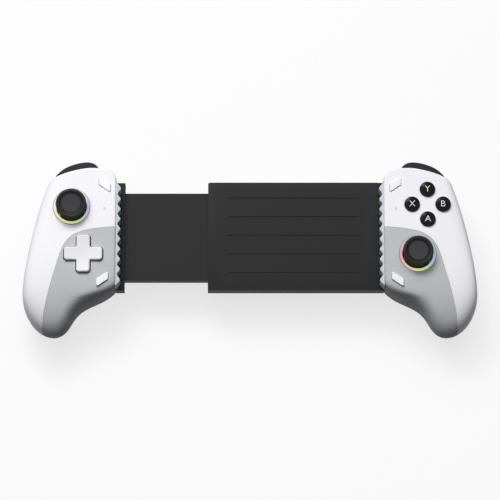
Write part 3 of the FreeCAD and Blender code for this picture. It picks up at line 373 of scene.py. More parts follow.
def section_poles(station, inset):
    y, outer, inner, front, parting, back = station
    tip = share(y, tip_blend)
    middle = middle_x(station)
    blends = (tip, share(y, front_blend), tip, tip)
    powers = [power + blend * (grip_power - power) for power, blend in zip(quarter_powers, blends)]
    y_inset = y + inset * share(y, inset_blend)
    poles = []
    count = 4 * quarter_poles
    for step in range(count):
        angle = 2 * math.pi * step / count
        power = powers[step // quarter_poles]
        across = signed_power(math.cos(angle), power)
        up = signed_power(math.sin(angle), power)
        reach_x = outer - inset - middle if across > 0 else middle - inner - inset
        reach_z = front - inset - parting if up > 0 else parting - back - inset
        poles.append((middle + across * max(reach_x, least_reach), y_inset,
                      parting + up * max(reach_z, least_reach)))
    return poles


def clamped_weights(count, values):
    """Cubic B-spline weights of each of count poles at the given values, from 0 to count - 3."""
    knots = np.array([0] * 3 + list(range(count - 2)) + [count - 3] * 3, float)
    values = np.minimum(values, count - 3 - 1e-9)[:, None]
    weights = ((values >= knots[:-1]) & (values < knots[1:])).astype(float)
    for degree in (1, 2, 3):
        spans = knots[degree:] - knots[:-degree]
        way = (values - knots[:-degree]) / np.where(spans > 0, spans, 1)
        weights = weights[:, :-1] * way[:, :-1] + weights[:, 1:] * (1 - way[:, 1:])
    return weights


def ring_weights(count, values):
    """Cubic weights of count poles that go round in a ring."""
    matrix = np.zeros((len(values), count))
    whole = np.floor(values).astype(int)
    t = values - whole
    parts = ((1 - t) ** 3, 3 * t ** 3 - 6 * t ** 2 + 4, -3 * t ** 3 + 3 * t ** 2 + 3 * t + 1, t ** 3)
    for offset, part in enumerate(parts):
        matrix[np.arange(len(values)), (whole + offset - 1) % count] += part / 6
    return matrix


def grip_surface(inset, around, along):
    """Points of the grip's surface as an array (along, around, 3)."""
    net = np.array([section_poles(station, inset) for station in grip_stations])
    rows = clamped_weights(len(grip_stations), np.linspace(0, len(grip_stations) - 3, along))
    ring = ring_weights(net.shape[1], np.arange(around) * net.shape[1] / around)
    return np.einsum("ar,rpc,bp->abc", rows, net, ring)


def curve_points(points, count):
    """Points on the natural cubic spline through the given ones, set by chord length."""
    given = np.array(points, float)
    chords = np.linalg.norm(np.diff(given, axis=0), axis=1)
    at = np.concatenate([[0], np.cumsum(chords)])
    size = len(given)
    system = np.eye(size)
    right = np.zeros_like(given)
    for i in range(1, size - 1):
        system[i, i - 1:i + 2] = chords[i - 1], 2 * (chords[i - 1] + chords[i]), chords[i]
        right[i] = 6 * ((given[i + 1] - given[i]) / chords[i] - (given[i] - given[i - 1]) / chords[i - 1])
    bend = np.linalg.solve(system, right)
    where = np.linspace(0, at[-1], count)
    index = np.clip(np.searchsorted(at, where) - 1, 0, size - 2)
    span = chords[index][:, None]
    before = (at[index + 1] - where)[:, None]
    after = (where - at[index])[:, None]
    return (bend[index] * before ** 3 / (6 * span) + bend[index + 1] * after ** 3 / (6 * span)
            + (given[index] / span - bend[index] * span / 6) * before
            + (given[index + 1] / span - bend[index + 1] * span / 6) * after)


def arc_points(three, count):
    """Points on the arc through three points."""
    a, b, c = np.array(three, float)
    centre = np.linalg.solve(2 * np.array([b - a, c - a]), [b @ b - a @ a, c @ c - a @ a])
    start, middle, end = [math.atan2(y, x) for x, y in (a - centre, b - centre, c - centre)]
    turn = (end - start + math.pi) % (2 * math.pi) - math.pi
    if (middle - start) * turn < 0:
        turn -= math.copysign(2 * math.pi, turn)
    angles = start + np.linspace(0, turn, count)
    return centre + np.linalg.norm(a - centre) * np.column_stack([np.cos(angles), np.sin(angles)])


def plan_outline(inset=0.0, top_inset=0.0):
    """Top edge, inner corner and inner wall as one open line from the outer side to below the grip.

    Pulled in, the top edge goes straight down and the inner wall outwards.
    """
    top = curve_points(top_edge, 60) - (0, top_inset)
    corner = [(x + inset * index / 2, y - top_inset) for index, (x, y) in enumerate(top_corner)]
    return np.vstack([top, arc_points(corner, 24)[1:], [[inner_wall_x + inset, -far]]])


def line_distance(points, line):
    """Signed distance in plan from an open line: positive on its right side."""
    best = np.full(len(points), 1e9)
    sign = np.ones(len(points))
    for start, span in zip(line[:-1], np.diff(line, axis=0)):
        away = points - start
        along = np.clip(away @ span / (span @ span), 0, 1)
        gap = away - along[:, None] * span
        distance = np.hypot(gap[:, 0], gap[:, 1])
        side = span[0] * away[:, 1] - span[1] * away[:, 0]
        closer = distance < best - 1e-9
        best = np.where(closer, distance, best)
        sign = np.where(closer, np.where(side < 0, 1.0, -1.0), sign)
    return best * sign


def gradient(field, points, step):
    """Slope of a field at the points, by central differences."""
    slopes = [(field(points + shift) - field(points - shift)) / (2 * step) for shift in np.eye(3) * step]
    return np.array(slopes).T


def cell(places, count):
    """The whole steps below the places on a scale of count marks, and the parts of a step above them."""
    low = np.clip(places.astype(int), 0, count - 2)
    return low, places - low


def between(low, high, part):
    """Rows that lie a part of the way from the low ones to the high ones."""
    return low * (1 - part)[:, None] + high * part[:, None]


class Form:
    """The handle's rounded outer form as a field: negative inside, about a distance near the surface."""

    def __init__(self):
        surface = grip_surface(0.0, form_around, form_along)
        rows = clamped_weights(len(grip_stations), np.linspace(0, len(grip_stations) - 3, form_along))
        centres = rows @ np.array([(middle_x(station), station[4]) for station in grip_stations])
        angles = np.linspace(0, 2 * math.pi, form_around + 1)
        table = []
        for row, centre in zip(surface, centres):
            across, up = (row[:, [0, 2]] - centre).T
            angle = np.arctan2(up, across) % (2 * math.pi)
            table.append(np.interp(angles, angle, np.hypot(across, up), period=2 * math.pi))
        table = np.array(table)[::-1]
        ys = surface[::-1, 0, 1]
        self.ys = np.arange(ys[0], ys[-1], form_row)
        self.centres = np.column_stack([np.interp(self.ys, ys, column) for column in centres[::-1].T])
        low, part = cell(np.interp(self.ys, ys, np.arange(len(ys))), len(ys))
        self.radii = between(table[low], table[low + 1], part)
        self.outline = plan_outline()

    def grip(self, points):
        y = np.clip(points[:, 1], self.ys[0], self.ys[-1])
        low, part = cell((y - self.ys[0]) / form_row, len(self.ys))
        across, up = (points[:, [0, 2]] - between(self.centres[low], self.centres[low + 1], part)).T
        angle = np.arctan2(up, across) % (2 * math.pi)
        left, side = cell(angle / (2 * math.pi) * form_around, form_around + 1)
        low_row = self.radii[low, left] * (1 - side) + self.radii[low, left + 1] * side
        high_row = self.radii[low + 1, left] * (1 - side) + self.radii[low + 1, left + 1] * side
        return np.hypot(across, up) - (low_row * (1 - part) + high_row * part)

    def grip_distance(self, points):
        steepness = (gradient(self.grip, points, grip_step) ** 2).sum(axis=1)
        return self.grip(points) / np.sqrt(np.maximum(steepness, least_steepness))

    def value(self, points):
        fields = np.array([self.grip_distance(points), line_distance(points[:, :2], self.outline),
                           -points[:, 2], self.ys[0] - points[:, 1]])
        rounded_part = np.sqrt((np.maximum(fields + edge_round, 0) ** 2).sum(axis=0))
        return np.minimum(fields.max(axis=0), -edge_round) + rounded_part

    def slope(self, points):
        return gradient(self.value, points, form_step)


def at_height(outline, z):
    plan = np.array(outline, float)
    return np.column_stack([plan, np.full(len(plan), z)])


def loft(rings):
    """Vertices and faces of a closed form through stacked rings of (x, y, z) points with equal counts."""
    count = len(rings[0])
    verts = np.vstack(rings)
    faces = [tuple(range(count))[::-1], tuple(range(len(verts) - count, len(verts)))]
    for first in range(0, len(verts) - count, count):
        for i in range(count):
            j = (i + 1) % count
            faces.append((first + i, first + j, first + count + j, first + count + i))
    return verts, faces


def prism(outline, z0, z1):
    """Vertices and faces of an upright prism over a closed plan outline."""
    return loft([at_height(outline, z0), at_height(outline, z1)])


def placed(name, data):
    """A new object in the scene."""
    obj = bpy.data.objects.new(name, data)
    bpy.context.scene.collection.objects.link(obj)
    return obj


def solid(name, verts, faces):
    mesh = bpy.data.meshes.new(name)
    mesh.from_pydata([tuple(v) for v in verts], [], faces)
    work = bmesh.new()
    work.from_mesh(mesh)
    bmesh.ops.recalc_face_normals(work, faces=work.faces)
    work.to_mesh(mesh)
    work.free()
    return placed(name, mesh)


def evaluated_mesh(obj):
    """A new mesh of the object as it looks with its modifiers."""
    bpy.context.view_layer.update()
    return bpy.data.meshes.new_from_object(obj.evaluated_get(bpy.context.evaluated_depsgraph_get()))


def evaluated(obj):
    """Applies the object's modifiers."""
    mesh = evaluated_mesh(obj)
    obj.modifiers.clear()
    old = obj.data
    obj.data = mesh
    bpy.data.meshes.remove(old)
    return obj


def combine(obj, operation, tools):
    for tool in tools:
        modifier = obj.modifiers.new("cut", "BOOLEAN")
        modifier.operation = operation
        modifier.solver = "MANIFOLD"
        modifier.object = tool
    return evaluated(obj)


def read(collection, attribute, width, kind=float):
    """An attribute of a mesh's vertices, edges, corners or faces as rows of an array."""
    values = np.zeros(len(collection) * width, kind)
    collection.foreach_get(attribute, values)
    return values.reshape(-1, width)


def to_side(mesh, side):
    """Scales the mesh to metres, mirrors it to its side and makes its faces smooth."""
    points = read(mesh.vertices, "co", 3) * (side * MM, MM, MM)
    mesh.vertices.foreach_set("co", points.ravel())
    if side == LEFT:
        mesh.flip_normals()
    mesh.polygons.foreach_set("use_smooth", np.ones(len(mesh.polygons), bool))
    mesh.update()


def inside_plan(inset, top_inset):
    """Cutter for what lies inside the plan outline, pulled in or not."""
    corners = [[far, -far], [far, top_edge[0][1] - top_inset]]
    return solid("plan", *prism(np.vstack([plan_outline(inset, top_inset), corners]), -far, far))


def handle_body(form):
    """One handle's outer form as an even mesh that lies on the form."""
    body = solid("body", *loft(grip_surface(0.0, *body_mesh)))
    above = solid("floor", *box_form(0, far, -far, far, 0.0, far))
    combine(body, "INTERSECT", [inside_plan(0.0, 0.0), above])
    modifier = body.modifiers.new("even", "REMESH")
    modifier.mode = "VOXEL"
    modifier.voxel_size = voxel_full
    evaluated(body)
    points = read(body.data.vertices, "co", 3)
    edges = read(body.data.edges, "vertices", 2, int)
    counts = np.bincount(edges.ravel(), minlength=len(points))[:, None]
    for turn in range(smooth_turns + 1):
        if turn < smooth_turns:
            sums = np.zeros_like(points)
            np.add.at(sums, edges[:, 0], points[edges[:, 1]])
            np.add.at(sums, edges[:, 1], points[edges[:, 0]])
            points = points * 0.5 + 0.5 * sums / counts
        for _ in range(2):
            slope = form.slope(points)
            value = form.value(points)
            points = points - slope * (value / np.maximum((slope ** 2).sum(axis=1), least_slope))[:, None]
    body.data.vertices.foreach_set("co", points.ravel())
    body.data.update()
    return body


def rectangle(x0, x1, y0, y1):
    return [(x0, y0), (x1, y0), (x1, y1), (x0, y1)]


def box_form(x0, x1, y0, y1, z0, z1):
    return prism(rectangle(x0, x1, y0, y1), z0, z1)


def circle(x, y, radius, count=96):
    angles = np.linspace(0, 2 * math.pi, count, endpoint=False)
    return np.column_stack([x + radius * np.cos(angles), y + radius * np.sin(angles)])


def quarter(steps):
    """Angles of a quarter turn in equal steps."""
    return [0.5 * math.pi * step / steps for step in range(steps + 1)]


def rounded(corners, radius, steps=6):
    """A closed outline with each corner turned into an arc; radius may be one value or one per corner."""
    corners = np.array(corners, float)
    neighbours = zip(np.roll(corners, 1, axis=0), corners, np.roll(corners, -1, axis=0))
    points = []
    for (last, corner, following), r in zip(neighbours, np.broadcast_to(radius, len(corners))):
        before = (last - corner) / np.linalg.norm(last - corner)
        after = (following - corner) / np.linalg.norm(following - corner)
        half = math.acos(np.clip(before @ after, -1, 1)) / 2
        middle = (before + after) / np.linalg.norm(before + after)
        centre = corner + middle * r / math.sin(half)
        start = corner + before * r / math.tan(half) - centre
        end = corner + after * r / math.tan(half) - centre
        turn = math.atan2(start[0] * end[1] - start[1] * end[0], start @ end)
        angles = turn * np.arange(steps + 1) / steps
        square = (-start[1], start[0])
        points.append(centre + np.outer(np.cos(angles), start) + np.outer(np.sin(angles), square))
    return np.vstack(points)


def cross_outline(grow):
    x, y = dpad_place
    reach = dpad_span / 2 + grow
    half = dpad_arm / 2 + grow
    corners = [(x - half, y - reach), (x + half, y - reach), (x + half, y - half), (x + reach, y - half),
               (x + reach, y + half), (x + half, y + half), (x + half, y + reach), (x - half, y + reach),
               (x - half, y + half), (x - reach, y + half), (x - reach, y - half), (x - half, y - half)]
    radii = [dpad_corner + grow, dpad_corner + grow, dpad_inner_corner - grow] * 4
    return rounded(corners, radii)


def small_outline(place, grow):
    x, y, slant = place
    half = small_width / 2 + grow
    side = small_side / 2 + grow
    corners = [(x - half, y - slant / 2 - side), (x + half, y + slant / 2 - side),
               (x + half, y + slant / 2 + side), (x - half, y - slant / 2 + side)]
    return rounded(corners, small_corner + grow)


def face_hole(outline_of):
    """A cutter through the face whose top is flared, so that the hole gets a fine chamfer."""
    levels = ((0.0, board_top), (0.0, face_height - hole_chamfer),
              (2 * hole_chamfer, face_height + hole_chamfer))
    return solid("hole", *loft([at_height(outline_of(grow), z) for grow, z in levels]))


def face_holes(name, side):
    places = small_places.values()
    holes = [face_hole(lambda grow: small_outline(place, small_gap + grow)) for place in places]
    rounds = [(*indicator_place, indicator_radius, 96), (*stick_places[name], ring_outer + ring_gap, 160)]
    if side == LEFT:
        holes.append(face_hole(lambda grow: cross_outline(dpad_gap + grow)))
    else:
        rounds += [(x, y, button_radius + button_gap, 96) for x, y in cluster_points().values()]
    for x, y, radius, count in rounds:
        holes.append(face_hole(lambda grow: circle(x, y, radius + grow, count)))
    return holes


def cluster_points():
    x, y = cluster_place
    return {"b": (x + cluster_radius, y), "y": (x, y + cluster_radius),
            "x": (x - cluster_radius, y), "a": (x, y - cluster_radius)}


def side_prism(outline, x0, x1):
    """A solid form drawn in the Y-Z plane and widened along X."""
    verts, faces = prism(outline, x0, x1)
    return verts[:, [2, 0, 1]], faces


def in_front(shift):
    """Cutter for everything in front of the parting surface."""
    line = curve_points([(station[0], station[4] + shift) for station in grip_stations], 120)
    corners = [[line[-1][0], far], [line[0][0], far]]
    return solid("front_half", *side_prism(np.vstack([line, corners]), 0, far))


def inside_split(shift):
    """Cutter for the panel's part of the plan."""
    line = curve_points([(x - shift, y - shift) for x, y in split_line], 160)
    return solid("panel_plan", *prism(np.vstack([line, [[line[0][0], line[-1][1]]]]), -far, far))


def top_wall_cutters():
    """The trigger's notch, the shoulder button's recess and the windows for its two arms."""
    side_gap, top_gap = notch_gap
    x0, x1 = trigger_x
    top = trigger_top + top_gap
    notch = solid("notch", *box_form(x0 - side_gap, x1 + side_gap, notch_y, far, -far, top))
    back = curve_points(top_edge, 60) - (0, bumper_recess)
    strip = prism(np.vstack([back, [[back[-1][0], far], [back[0][0], far]]]), *bumper_recess_z)
    limit = solid("recess_limit", *box_form(*bumper_recess_x, 0, far, -far, far))
    recess = combine(solid("recess", *strip), "INTERSECT", [limit])
    windows = [solid("arm_window", *box_form(*x, notch_y, far, *arm_window_z)) for x in arm_windows_x]
    return [notch, recess] + windows


def copy_of(obj, name):
    return placed(name, obj.data.copy())


def discard(*objects):
    for obj in objects:
        bpy.data.objects.remove(obj)


def shade_by_form(obj, form, side):
    """Brings the mesh to its side and shades the outer skin by the form's own slope."""
    mesh = obj.data
    points = read(mesh.vertices, "co", 3)
    near = np.abs(form.value(points)) < skin_depth
    slope = form.slope(points)
    slope /= np.maximum(np.linalg.norm(slope, axis=1), 1e-9)[:, None]
    slope[:, 0] *= side
    to_side(mesh, side)
    corners = read(mesh.loops, "vertex_index", 1, int)[:, 0]
    totals = read(mesh.polygons, "loop_total", 1, int)[:, 0]
    flat = np.repeat(read(mesh.polygons, "normal", 3), totals, axis=0)
    skin = slope[corners]
    use = near[corners] & ((skin * flat).sum(axis=1) > skin_turn)
    mesh.normals_split_custom_set(np.where(use[:, None], skin, flat).tolist())


def screw_cylinders(radius, top):
    return [solid("screw_place", *prism(circle(x, y, radius, 48), -far, top)) for x, y in screw_places]


def build_skins(form):
    """Front shell, front panel and rear shell of both handles."""
    body = handle_body(form)
    inner = solid("inside", *loft(grip_surface(wall, *inside_mesh)))
    combine(inner, "INTERSECT", [inside_plan(wall, top_wall)])
    skin = combine(copy_of(body, "skin"), "DIFFERENCE", [inner])
    cutters = top_wall_cutters()
    front = combine(copy_of(skin, "front"), "INTERSECT", [in_front(seam_gap / 2)])
    rear = combine(copy_of(skin, "rear"), "DIFFERENCE", [in_front(-seam_gap / 2)])
    shell = combine(copy_of(front, "shell"), "DIFFERENCE", [inside_split(0.0)] + cutters)
    panel = combine(copy_of(front, "panel"), "INTERSECT", [inside_split(seam_gap)])
    posts = screw_cylinders(post_radius, screw_seat_z + post_proud)
    combine(rear, "UNION", [combine(post, "INTERSECT", [body]) for post in posts])
    combine(rear, "DIFFERENCE", [cutters[0]] + screw_cylinders(screw_hole_radius, screw_seat_z))
    pieces = []
    for name, side in SIDES.items():
        holes = face_holes(name, side)
        for part, source in (("front_shell", shell), ("front_panel", panel), ("rear_shell", rear)):
            piece = copy_of(source, name + "_" + part + "_skin")
            combine(piece, "DIFFERENCE", [wall_opening(side)] if part == "rear_shell" else holes)
            shade_by_form(piece, form, side)
            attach(piece, name + "_handle")
            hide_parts(name + "_" + part)
            pieces.append(piece)
    tools = [obj for obj in bpy.context.scene.objects if obj.type == "MESH" and "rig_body" not in obj]
    discard(*[obj for obj in tools if obj not in pieces])
    return pieces


def wall_opening(side):
    """The bridge's mouth in the left inner wall, or the charging socket's in the right top wall."""
    if side == LEFT:
        reach_y = (bay_y - mouth_reach, bay_y + mouth_reach)
        return solid("mouth", *box_form(0, inner_wall_x + 2 * wall, *reach_y, *mouth_z))
    low, high = [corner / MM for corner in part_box("charging_socket")]
    outline = rectangle(low.x - socket_gap, high.x + socket_gap, low.z - socket_gap, high.z + socket_gap)
    verts, faces = prism(rounded(outline, socket_corner), socket_y, far)
    return solid("mouth", verts[:, [0, 2, 1]], faces)


# Pieces with a plain outline

def finish_mesh(obj, body, replaced, side=RIGHT, angle=crease):
    """Metres, side, smooth shading with creases above the angle, its body and what it stands for."""
    to_side(obj.data, side)
    obj.data.set_sharp_from_angle(angle=math.radians(angle))
    obj.data.update()
    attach(obj, body)
    if replaced:
        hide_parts(replaced)
    return obj


def bevelled(obj, width, segments, angle):
    modifier = obj.modifiers.new("round", "BEVEL")
    modifier.width = width
    modifier.segments = segments
    modifier.limit_method = "ANGLE"
    modifier.angle_limit = math.radians(angle)
    return evaluated(obj)


def turned(profile, x, y, z, steps=128):
    """Rings of a form turned about an upright axis; the profile has (radius, height) from axis to axis."""
    return [at_height(circle(x, y, radius, steps), z + height) for radius, height in profile]


def slice_faces(work, faces, step, centre, reach):
    """Cuts flat upward faces into a grid of cells."""
    geometry = list(faces) + list({edge for face in faces for edge in face.edges})
    geometry += list({vert for face in faces for vert in face.verts})
    count = int(reach / step)
    for axis in range(2):
        normal = Vector((1, 0, 0)) if axis == 0 else Vector((0, 1, 0))
        for index in range(-count, count + 1):
            point = Vector((centre[0], centre[1], 0)) + normal * (index + cell_shift) * step
            cut = bmesh.ops.bisect_plane(work, geom=geometry, plane_co=point, plane_no=normal, dist=1e-5)
            geometry = [item for item in cut["geom"] if item.is_valid]
    return [item for item in geometry if isinstance(item, bmesh.types.BMFace)]


def crowned(name, outline_of, top_of, bottom, radius, centre, reach, step):
    """An upright form over a plan outline with a rounded rim and a top that follows top_of(x, y)."""
    rings = [at_height(outline_of(0.0), bottom)]
    for angle in quarter(6):
        ring = at_height(outline_of(-radius * (1 - math.cos(angle))), 0.0)
        ring[:, 2] = [top_of(x, y) - radius * (1 - math.sin(angle)) for x, y, _ in ring]
        rings.append(ring)
    obj = solid(name, *loft(rings))
    work = bmesh.new()
    work.from_mesh(obj.data)
    work.normal_update()
    top = [face for face in work.faces if len(face.verts) > 8 and face.normal.z > 0.5]
    cells = slice_faces(work, top, step, centre, reach)
    for vert in {vert for face in cells for vert in face.verts}:
        vert.co.z = top_of(vert.co.x, vert.co.y)
    work.to_mesh(obj.data)
    work.free()
    return obj


def stick_cap(name, side):
    """Rubber cap: a shallow dished disc, a groove, a rolled rim, the neck and the dust dome below."""
    x, y = stick_places[name]
    profile = cap_disc + [tuple(point) for point in curve_points(cap_rim, 40)] + cap_neck
    cap = solid(name + "_cap", *loft(turned(profile, x, y, face_height + cap_height)))
    outside = [math.radians(dome_reach * step / 24) for step in range(25)]
    dome = [(max(dome_radius * math.sin(angle), hair), dome_radius * math.cos(angle)) for angle in outside]
    scale = (dome_radius - dome_wall) / dome_radius
    dome += [(radius * scale, height * scale) for radius, height in reversed(dome)]
    boot = solid(name + "_boot", *loft(turned(dome, x, y, pivot_z)))
    cap = joined(name + "_stick_rubber", [cap, boot])
    return finish_mesh(cap, name + "_stick_lever", name + "_stick_cap", side)


def paint_disc(cap, name, side, material):
    """Gives the cap's middle disc its own finish."""
    x, y = stick_places[name]
    lowest = face_height + cap_height - disc_depth
    cap.data.materials.append(material)
    for face in cap.data.polygons:
        middle = face.center / MM
        if math.hypot(middle.x - x * side, middle.y - y) < disc_radius and middle.z > lowest:
            face.material_index = 1


def joined(name, objects):
    """One object that holds the meshes of several."""
    work = bmesh.new()
    for obj in objects:
        work.from_mesh(obj.data)
    obj = objects[0]
    work.to_mesh(obj.data)
    work.free()
    discard(*objects[1:])
    obj.name = name
    return obj


def light_ring(name, side):
    """The ring's section turned about the stick's axis, closed on itself."""
    rings = turned(ring_profile, *stick_places[name], face_height)
    verts, faces = loft(rings)
    count = len(rings[0])
    last = len(verts) - count
    faces = faces[2:] + [(i, last + i, last + (i + 1) % count, (i + 1) % count) for i in range(count)]
    ring = solid(name + "_ring", verts, faces)
    return finish_mesh(ring, name + "_handle", name + "_light_ring", side)


def dished(x, y):
    away = math.hypot(x - dpad_place[0], y - dpad_place[1])
    return face_height + dpad_height - dpad_dish * max(0.0, 1 - (away / (dpad_span / 2)) ** 2)


def direction_pad():
    reach = dpad_span / 2
    cross = crowned("direction_pad", cross_outline, dished, dpad_bottom, dpad_round, dpad_place, reach,
                    dpad_cell)
    return finish_mesh(cross, "dpad", "dpad", LEFT)


def small_button(name, side, which):
    place = small_places[which]
    body = name + "_" + which
    piece = crowned(body + "_cap", lambda grow: small_outline(place, grow),
                    lambda x, y: face_height + small_height, inner_face - small_foot, small_round,
                    place, small_width, small_cell)
    return finish_mesh(piece, body, body, side)


def dome_z(away):
    """Height of a face button's domed top over its centre's plane, at a distance from its axis."""
    return face_height + button_height - button_crown * (away / button_radius) ** 2


def face_button(letter, x, y):
    flat = button_radius - button_rim
    arc = [(max(flat * step / 12, hair), dome_z(flat * step / 12) - face_height) for step in range(13)]
    low = arc[-1][1]
    arc += [(flat + button_rim * math.sin(angle), low - button_rim * (1 - math.cos(angle)))
            for angle in quarter(6)[1:]]
    flange = inner_face - face_height - flange_drop
    foot = flange - flange_thickness
    wide = button_radius + flange_reach
    arc += [(button_radius, flange), (wide, flange), (wide, foot), (hair, foot)]
    body = "button_" + letter
    cap = solid(body + "_cap", *loft(turned(arc, x, y, face_height, 96)))
    finish_mesh(cap, body, body)
    mark = finish_mesh(letter_mark(letter.upper(), x, y), body, None)
    return cap, mark


def letter_mark(letter, x, y):
    """A letter as a thin skin that lies on a button's dome."""
    curve = bpy.data.curves.new("mark_" + letter, "FONT")
    curve.body = letter
    curve.size = letter_size
    curve.offset = letter_thinning
    curve.align_x = "CENTER"
    curve.resolution_u = 6
    outline = placed("mark_" + letter, curve)
    mesh = evaluated_mesh(outline)
    discard(outline)
    work = bmesh.new()
    work.from_mesh(mesh)
    bmesh.ops.remove_doubles(work, verts=work.verts, dist=1e-4)
    for axis, middle in enumerate((x, y)):
        places = [vert.co[axis] for vert in work.verts]
        shift = middle - (min(places) + max(places)) / 2
        for vert in work.verts:
            vert.co[axis] += shift
    slice_faces(work, work.faces[:], letter_cell, (x, y), letter_size)
    for face in work.faces:
        face.normal_update()
        if face.normal.z < 0:
            face.normal_flip()
    for vert in work.verts:
        vert.co.z = dome_z(math.hypot(vert.co.x - x, vert.co.y - y)) + letter_proud
    rim = [edge for edge in work.edges if len(edge.link_faces) == 1]
    sides = bmesh.ops.extrude_edge_only(work, edges=rim)
    for item in sides["geom"]:
        if isinstance(item, bmesh.types.BMVert):
            item.co.z -= letter_proud + letter_root
    work.to_mesh(mesh)
    work.free()
    return placed("letter_" + letter, mesh)


def shoulder_button(name, side):
    """A bar whose sections run from the outer curve to the line behind it, with a rounded front edge."""
    back = curve_points([(x, y + bumper_gap) for x, y in top_edge[1:]], 400)
    low, high = bumper_z
    rings = []
    for x, y in curve_points(bumper_outline, 72)[1:-1]:
        nearest = back[np.argmin(np.hypot(back[:, 0] - x, back[:, 1] - y))]
        across = nearest - (x, y)
        width = np.linalg.norm(across)
        across /= width
        bend = min(bumper_bend, bumper_bend_share * width)
        foot = min(bumper_foot, bumper_foot_share * width)
        section = [(foot * (1 - math.sin(turn)), low + foot * (1 - math.cos(turn))) for turn in quarter(4)]
        section += [(bend * (1 - math.cos(turn)), high - bend * (1 - math.sin(turn))) for turn in quarter(8)]
        section += [(width - bumper_ease, high), (width, high - bumper_ease), (width, low)]
        rings.append([(x + across[0] * reach, y + across[1] * reach, z) for reach, z in section])
    bar = solid(name + "_shoulder_bar", *loft(rings))
    arms = shoulder_arms()
    hole = solid("hole", *prism(circle(*bumper_pivot, bumper_bore, 32), 0, far))
    combine(combine(bar, "UNION", arms), "DIFFERENCE", [hole])
    discard(hole, *arms)
    return finish_mesh(bar, name + "_bumper", name + "_bumper", side, wide_crease)


def shoulder_arms():
    """The hinge arm with its round eye and the arm that pushes the switch."""
    arms = [solid("eye", *prism(circle(*bumper_pivot, bumper_arm[0] / 2, 48), *bumper_arm_z))]
    starts = (bumper_pivot[1], bumper_pivot[1] - push_arm_drop)
    for x, y0, width in zip((bumper_pivot[0], bumper_push_x), starts, bumper_arm):
        y1 = np.interp(x, *zip(*sorted(top_edge))) + bumper_gap + bumper_arm_overlap
        arms.append(solid("arm", *box_form(x - width / 2, x + width / 2, y0, y1, *bumper_arm_z)))
    return arms


def trigger_paddle(name, side):
    """The trigger: a paddle that narrows downwards and sweeps back and up at its ends, on a bored hub."""
    front = curve_points(trigger_front, 40)
    tip = curve_points(trigger_front[-1:] + trigger_end + trigger_back[:1], 16)[1:-1]
    back = curve_points(trigger_back[:-1], 30)
    outline = np.vstack([front, tip, back, trigger_back[-1:]])
    sweep = np.concatenate([np.ones(len(front)), np.linspace(1.0, trigger_tip_sweep, len(tip)),
                            np.linspace(trigger_tip_sweep, 0.0, len(back) + 1)])
    low = (trigger_front[0][1] - outline[:, 1]) / (trigger_front[0][1] - trigger_end[2][1])
    middle = sum(trigger_x) / 2
    rings = []
    for x in np.linspace(*trigger_x, 61):
        ways = [(share(x, (start, end)), depth, height) for start, end, depth, height in trigger_sweep]
        drop = sum(depth * (1 - math.sqrt(1 - way ** 2)) for way, depth, _ in ways)
        lift = sum(height * (1 - math.sqrt(1 - way ** 4)) for way, _, height in ways)
        rings.append(np.column_stack([middle + (x - middle) * (1 - trigger_taper * low ** 2),
                                      outline[:, 0] - drop * sweep, outline[:, 1] + lift * low ** 3]))
    paddle = bevelled(solid(name + "_trigger_paddle", *loft(rings)), trigger_round, 4, bevel_angle)
    hub = along_x("hub", trigger_hub, *trigger_x)
    cuts = [along_x("bore", trigger_bore, 0.0, far), along_x("room", trigger_room[0], 0.0, trigger_room[1])]
    combine(combine(paddle, "UNION", [hub]), "DIFFERENCE", cuts)
    discard(hub, *cuts)
    return finish_mesh(paddle, name + "_trigger", name + "_trigger", side, wide_crease)


def along_x(name, radius, x0, x1):
    """A round bar along X on the trigger's axis."""
    return solid(name, *side_prism(circle(*trigger_pin, radius, 64), x0, x1))


def bridge_cover():
    """The sleeve's cover: a plate with eased edges, long shallow grooves and a lower strip at the wall."""
    outline = rectangle(*cover_x, bay_y - bay_reach, bay_y + bay_reach)
    outline = rounded(outline, [cover_corner, hair, hair, cover_corner])
    plate = bevelled(solid("cover_plate", *prism(outline, *cover_z)), cover_round, 4, bevel_angle)
    top = cover_z[1]
    cuts = [solid("strip", *box_form(cover_bed_end, far, -far, far, top - bed_step, far))]
    half = groove_width / 2
    for index in range(groove_count):
        y = bay_y + (index - (groove_count - 1) / 2) * groove_pitch
        groove = rounded(rectangle(*groove_x, y - half, y + half), 0.98 * half)
        cuts.append(solid("groove", *prism(groove, top - groove_depth, far)))
    combine(plate, "DIFFERENCE", cuts)
    discard(*cuts)
    return finish_mesh(plate, "right_handle", "bridge_cover")


def return_springs():
    """Two coil springs in the sleeve that the sliding half presses together."""
    steps = spring_turns * spring_steps
    start, end = spring_x
    coils = []
    for y in spring_rows:
        rings = []
        for step in range(steps + 1):
            turn = 2 * math.pi * step / spring_steps
            out = np.array([0.0, math.cos(turn), math.sin(turn)])
            x = start + wire + (end - start - 2 * wire) * step / steps
            centre = np.array([x, y, spring_z]) + out * (spring_radius - wire)
            rings.append([centre + wire * (out * across + np.array([along, 0.0, 0.0]))
                          for across, along in circle(0.0, 0.0, 1.0, 8)])
        coils.append(solid("coil", *loft(rings)))
    coil = finish_mesh(joined("return_coils", coils), "right_handle", "return_springs", angle=coil_crease)
    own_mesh(coil)
    return coil


def phone_pad(name, side):
    """A rubber strip on the inner wall with a wavy face."""
    points = []
    for step in range(pad_waves * 2 + 1):
        reach = pad_crest if step % 2 else pad_trough
        points.append((inner_wall_x - reach, pad_first_y + pad_pitch * step / 2))
    wave = curve_points(points, pad_waves * 16)
    outline = np.vstack([[[inner_wall_x, pad_start_y]], wave, [[inner_wall_x, pad_tip_y]]])
    pad = bevelled(solid(name + "_pad", *prism(outline, *pad_z)), pad_round, 3, pad_bevel_angle)
    return finish_mesh(pad, name + "_handle", name + "_phone_pad", side, wide_crease)


# Materials

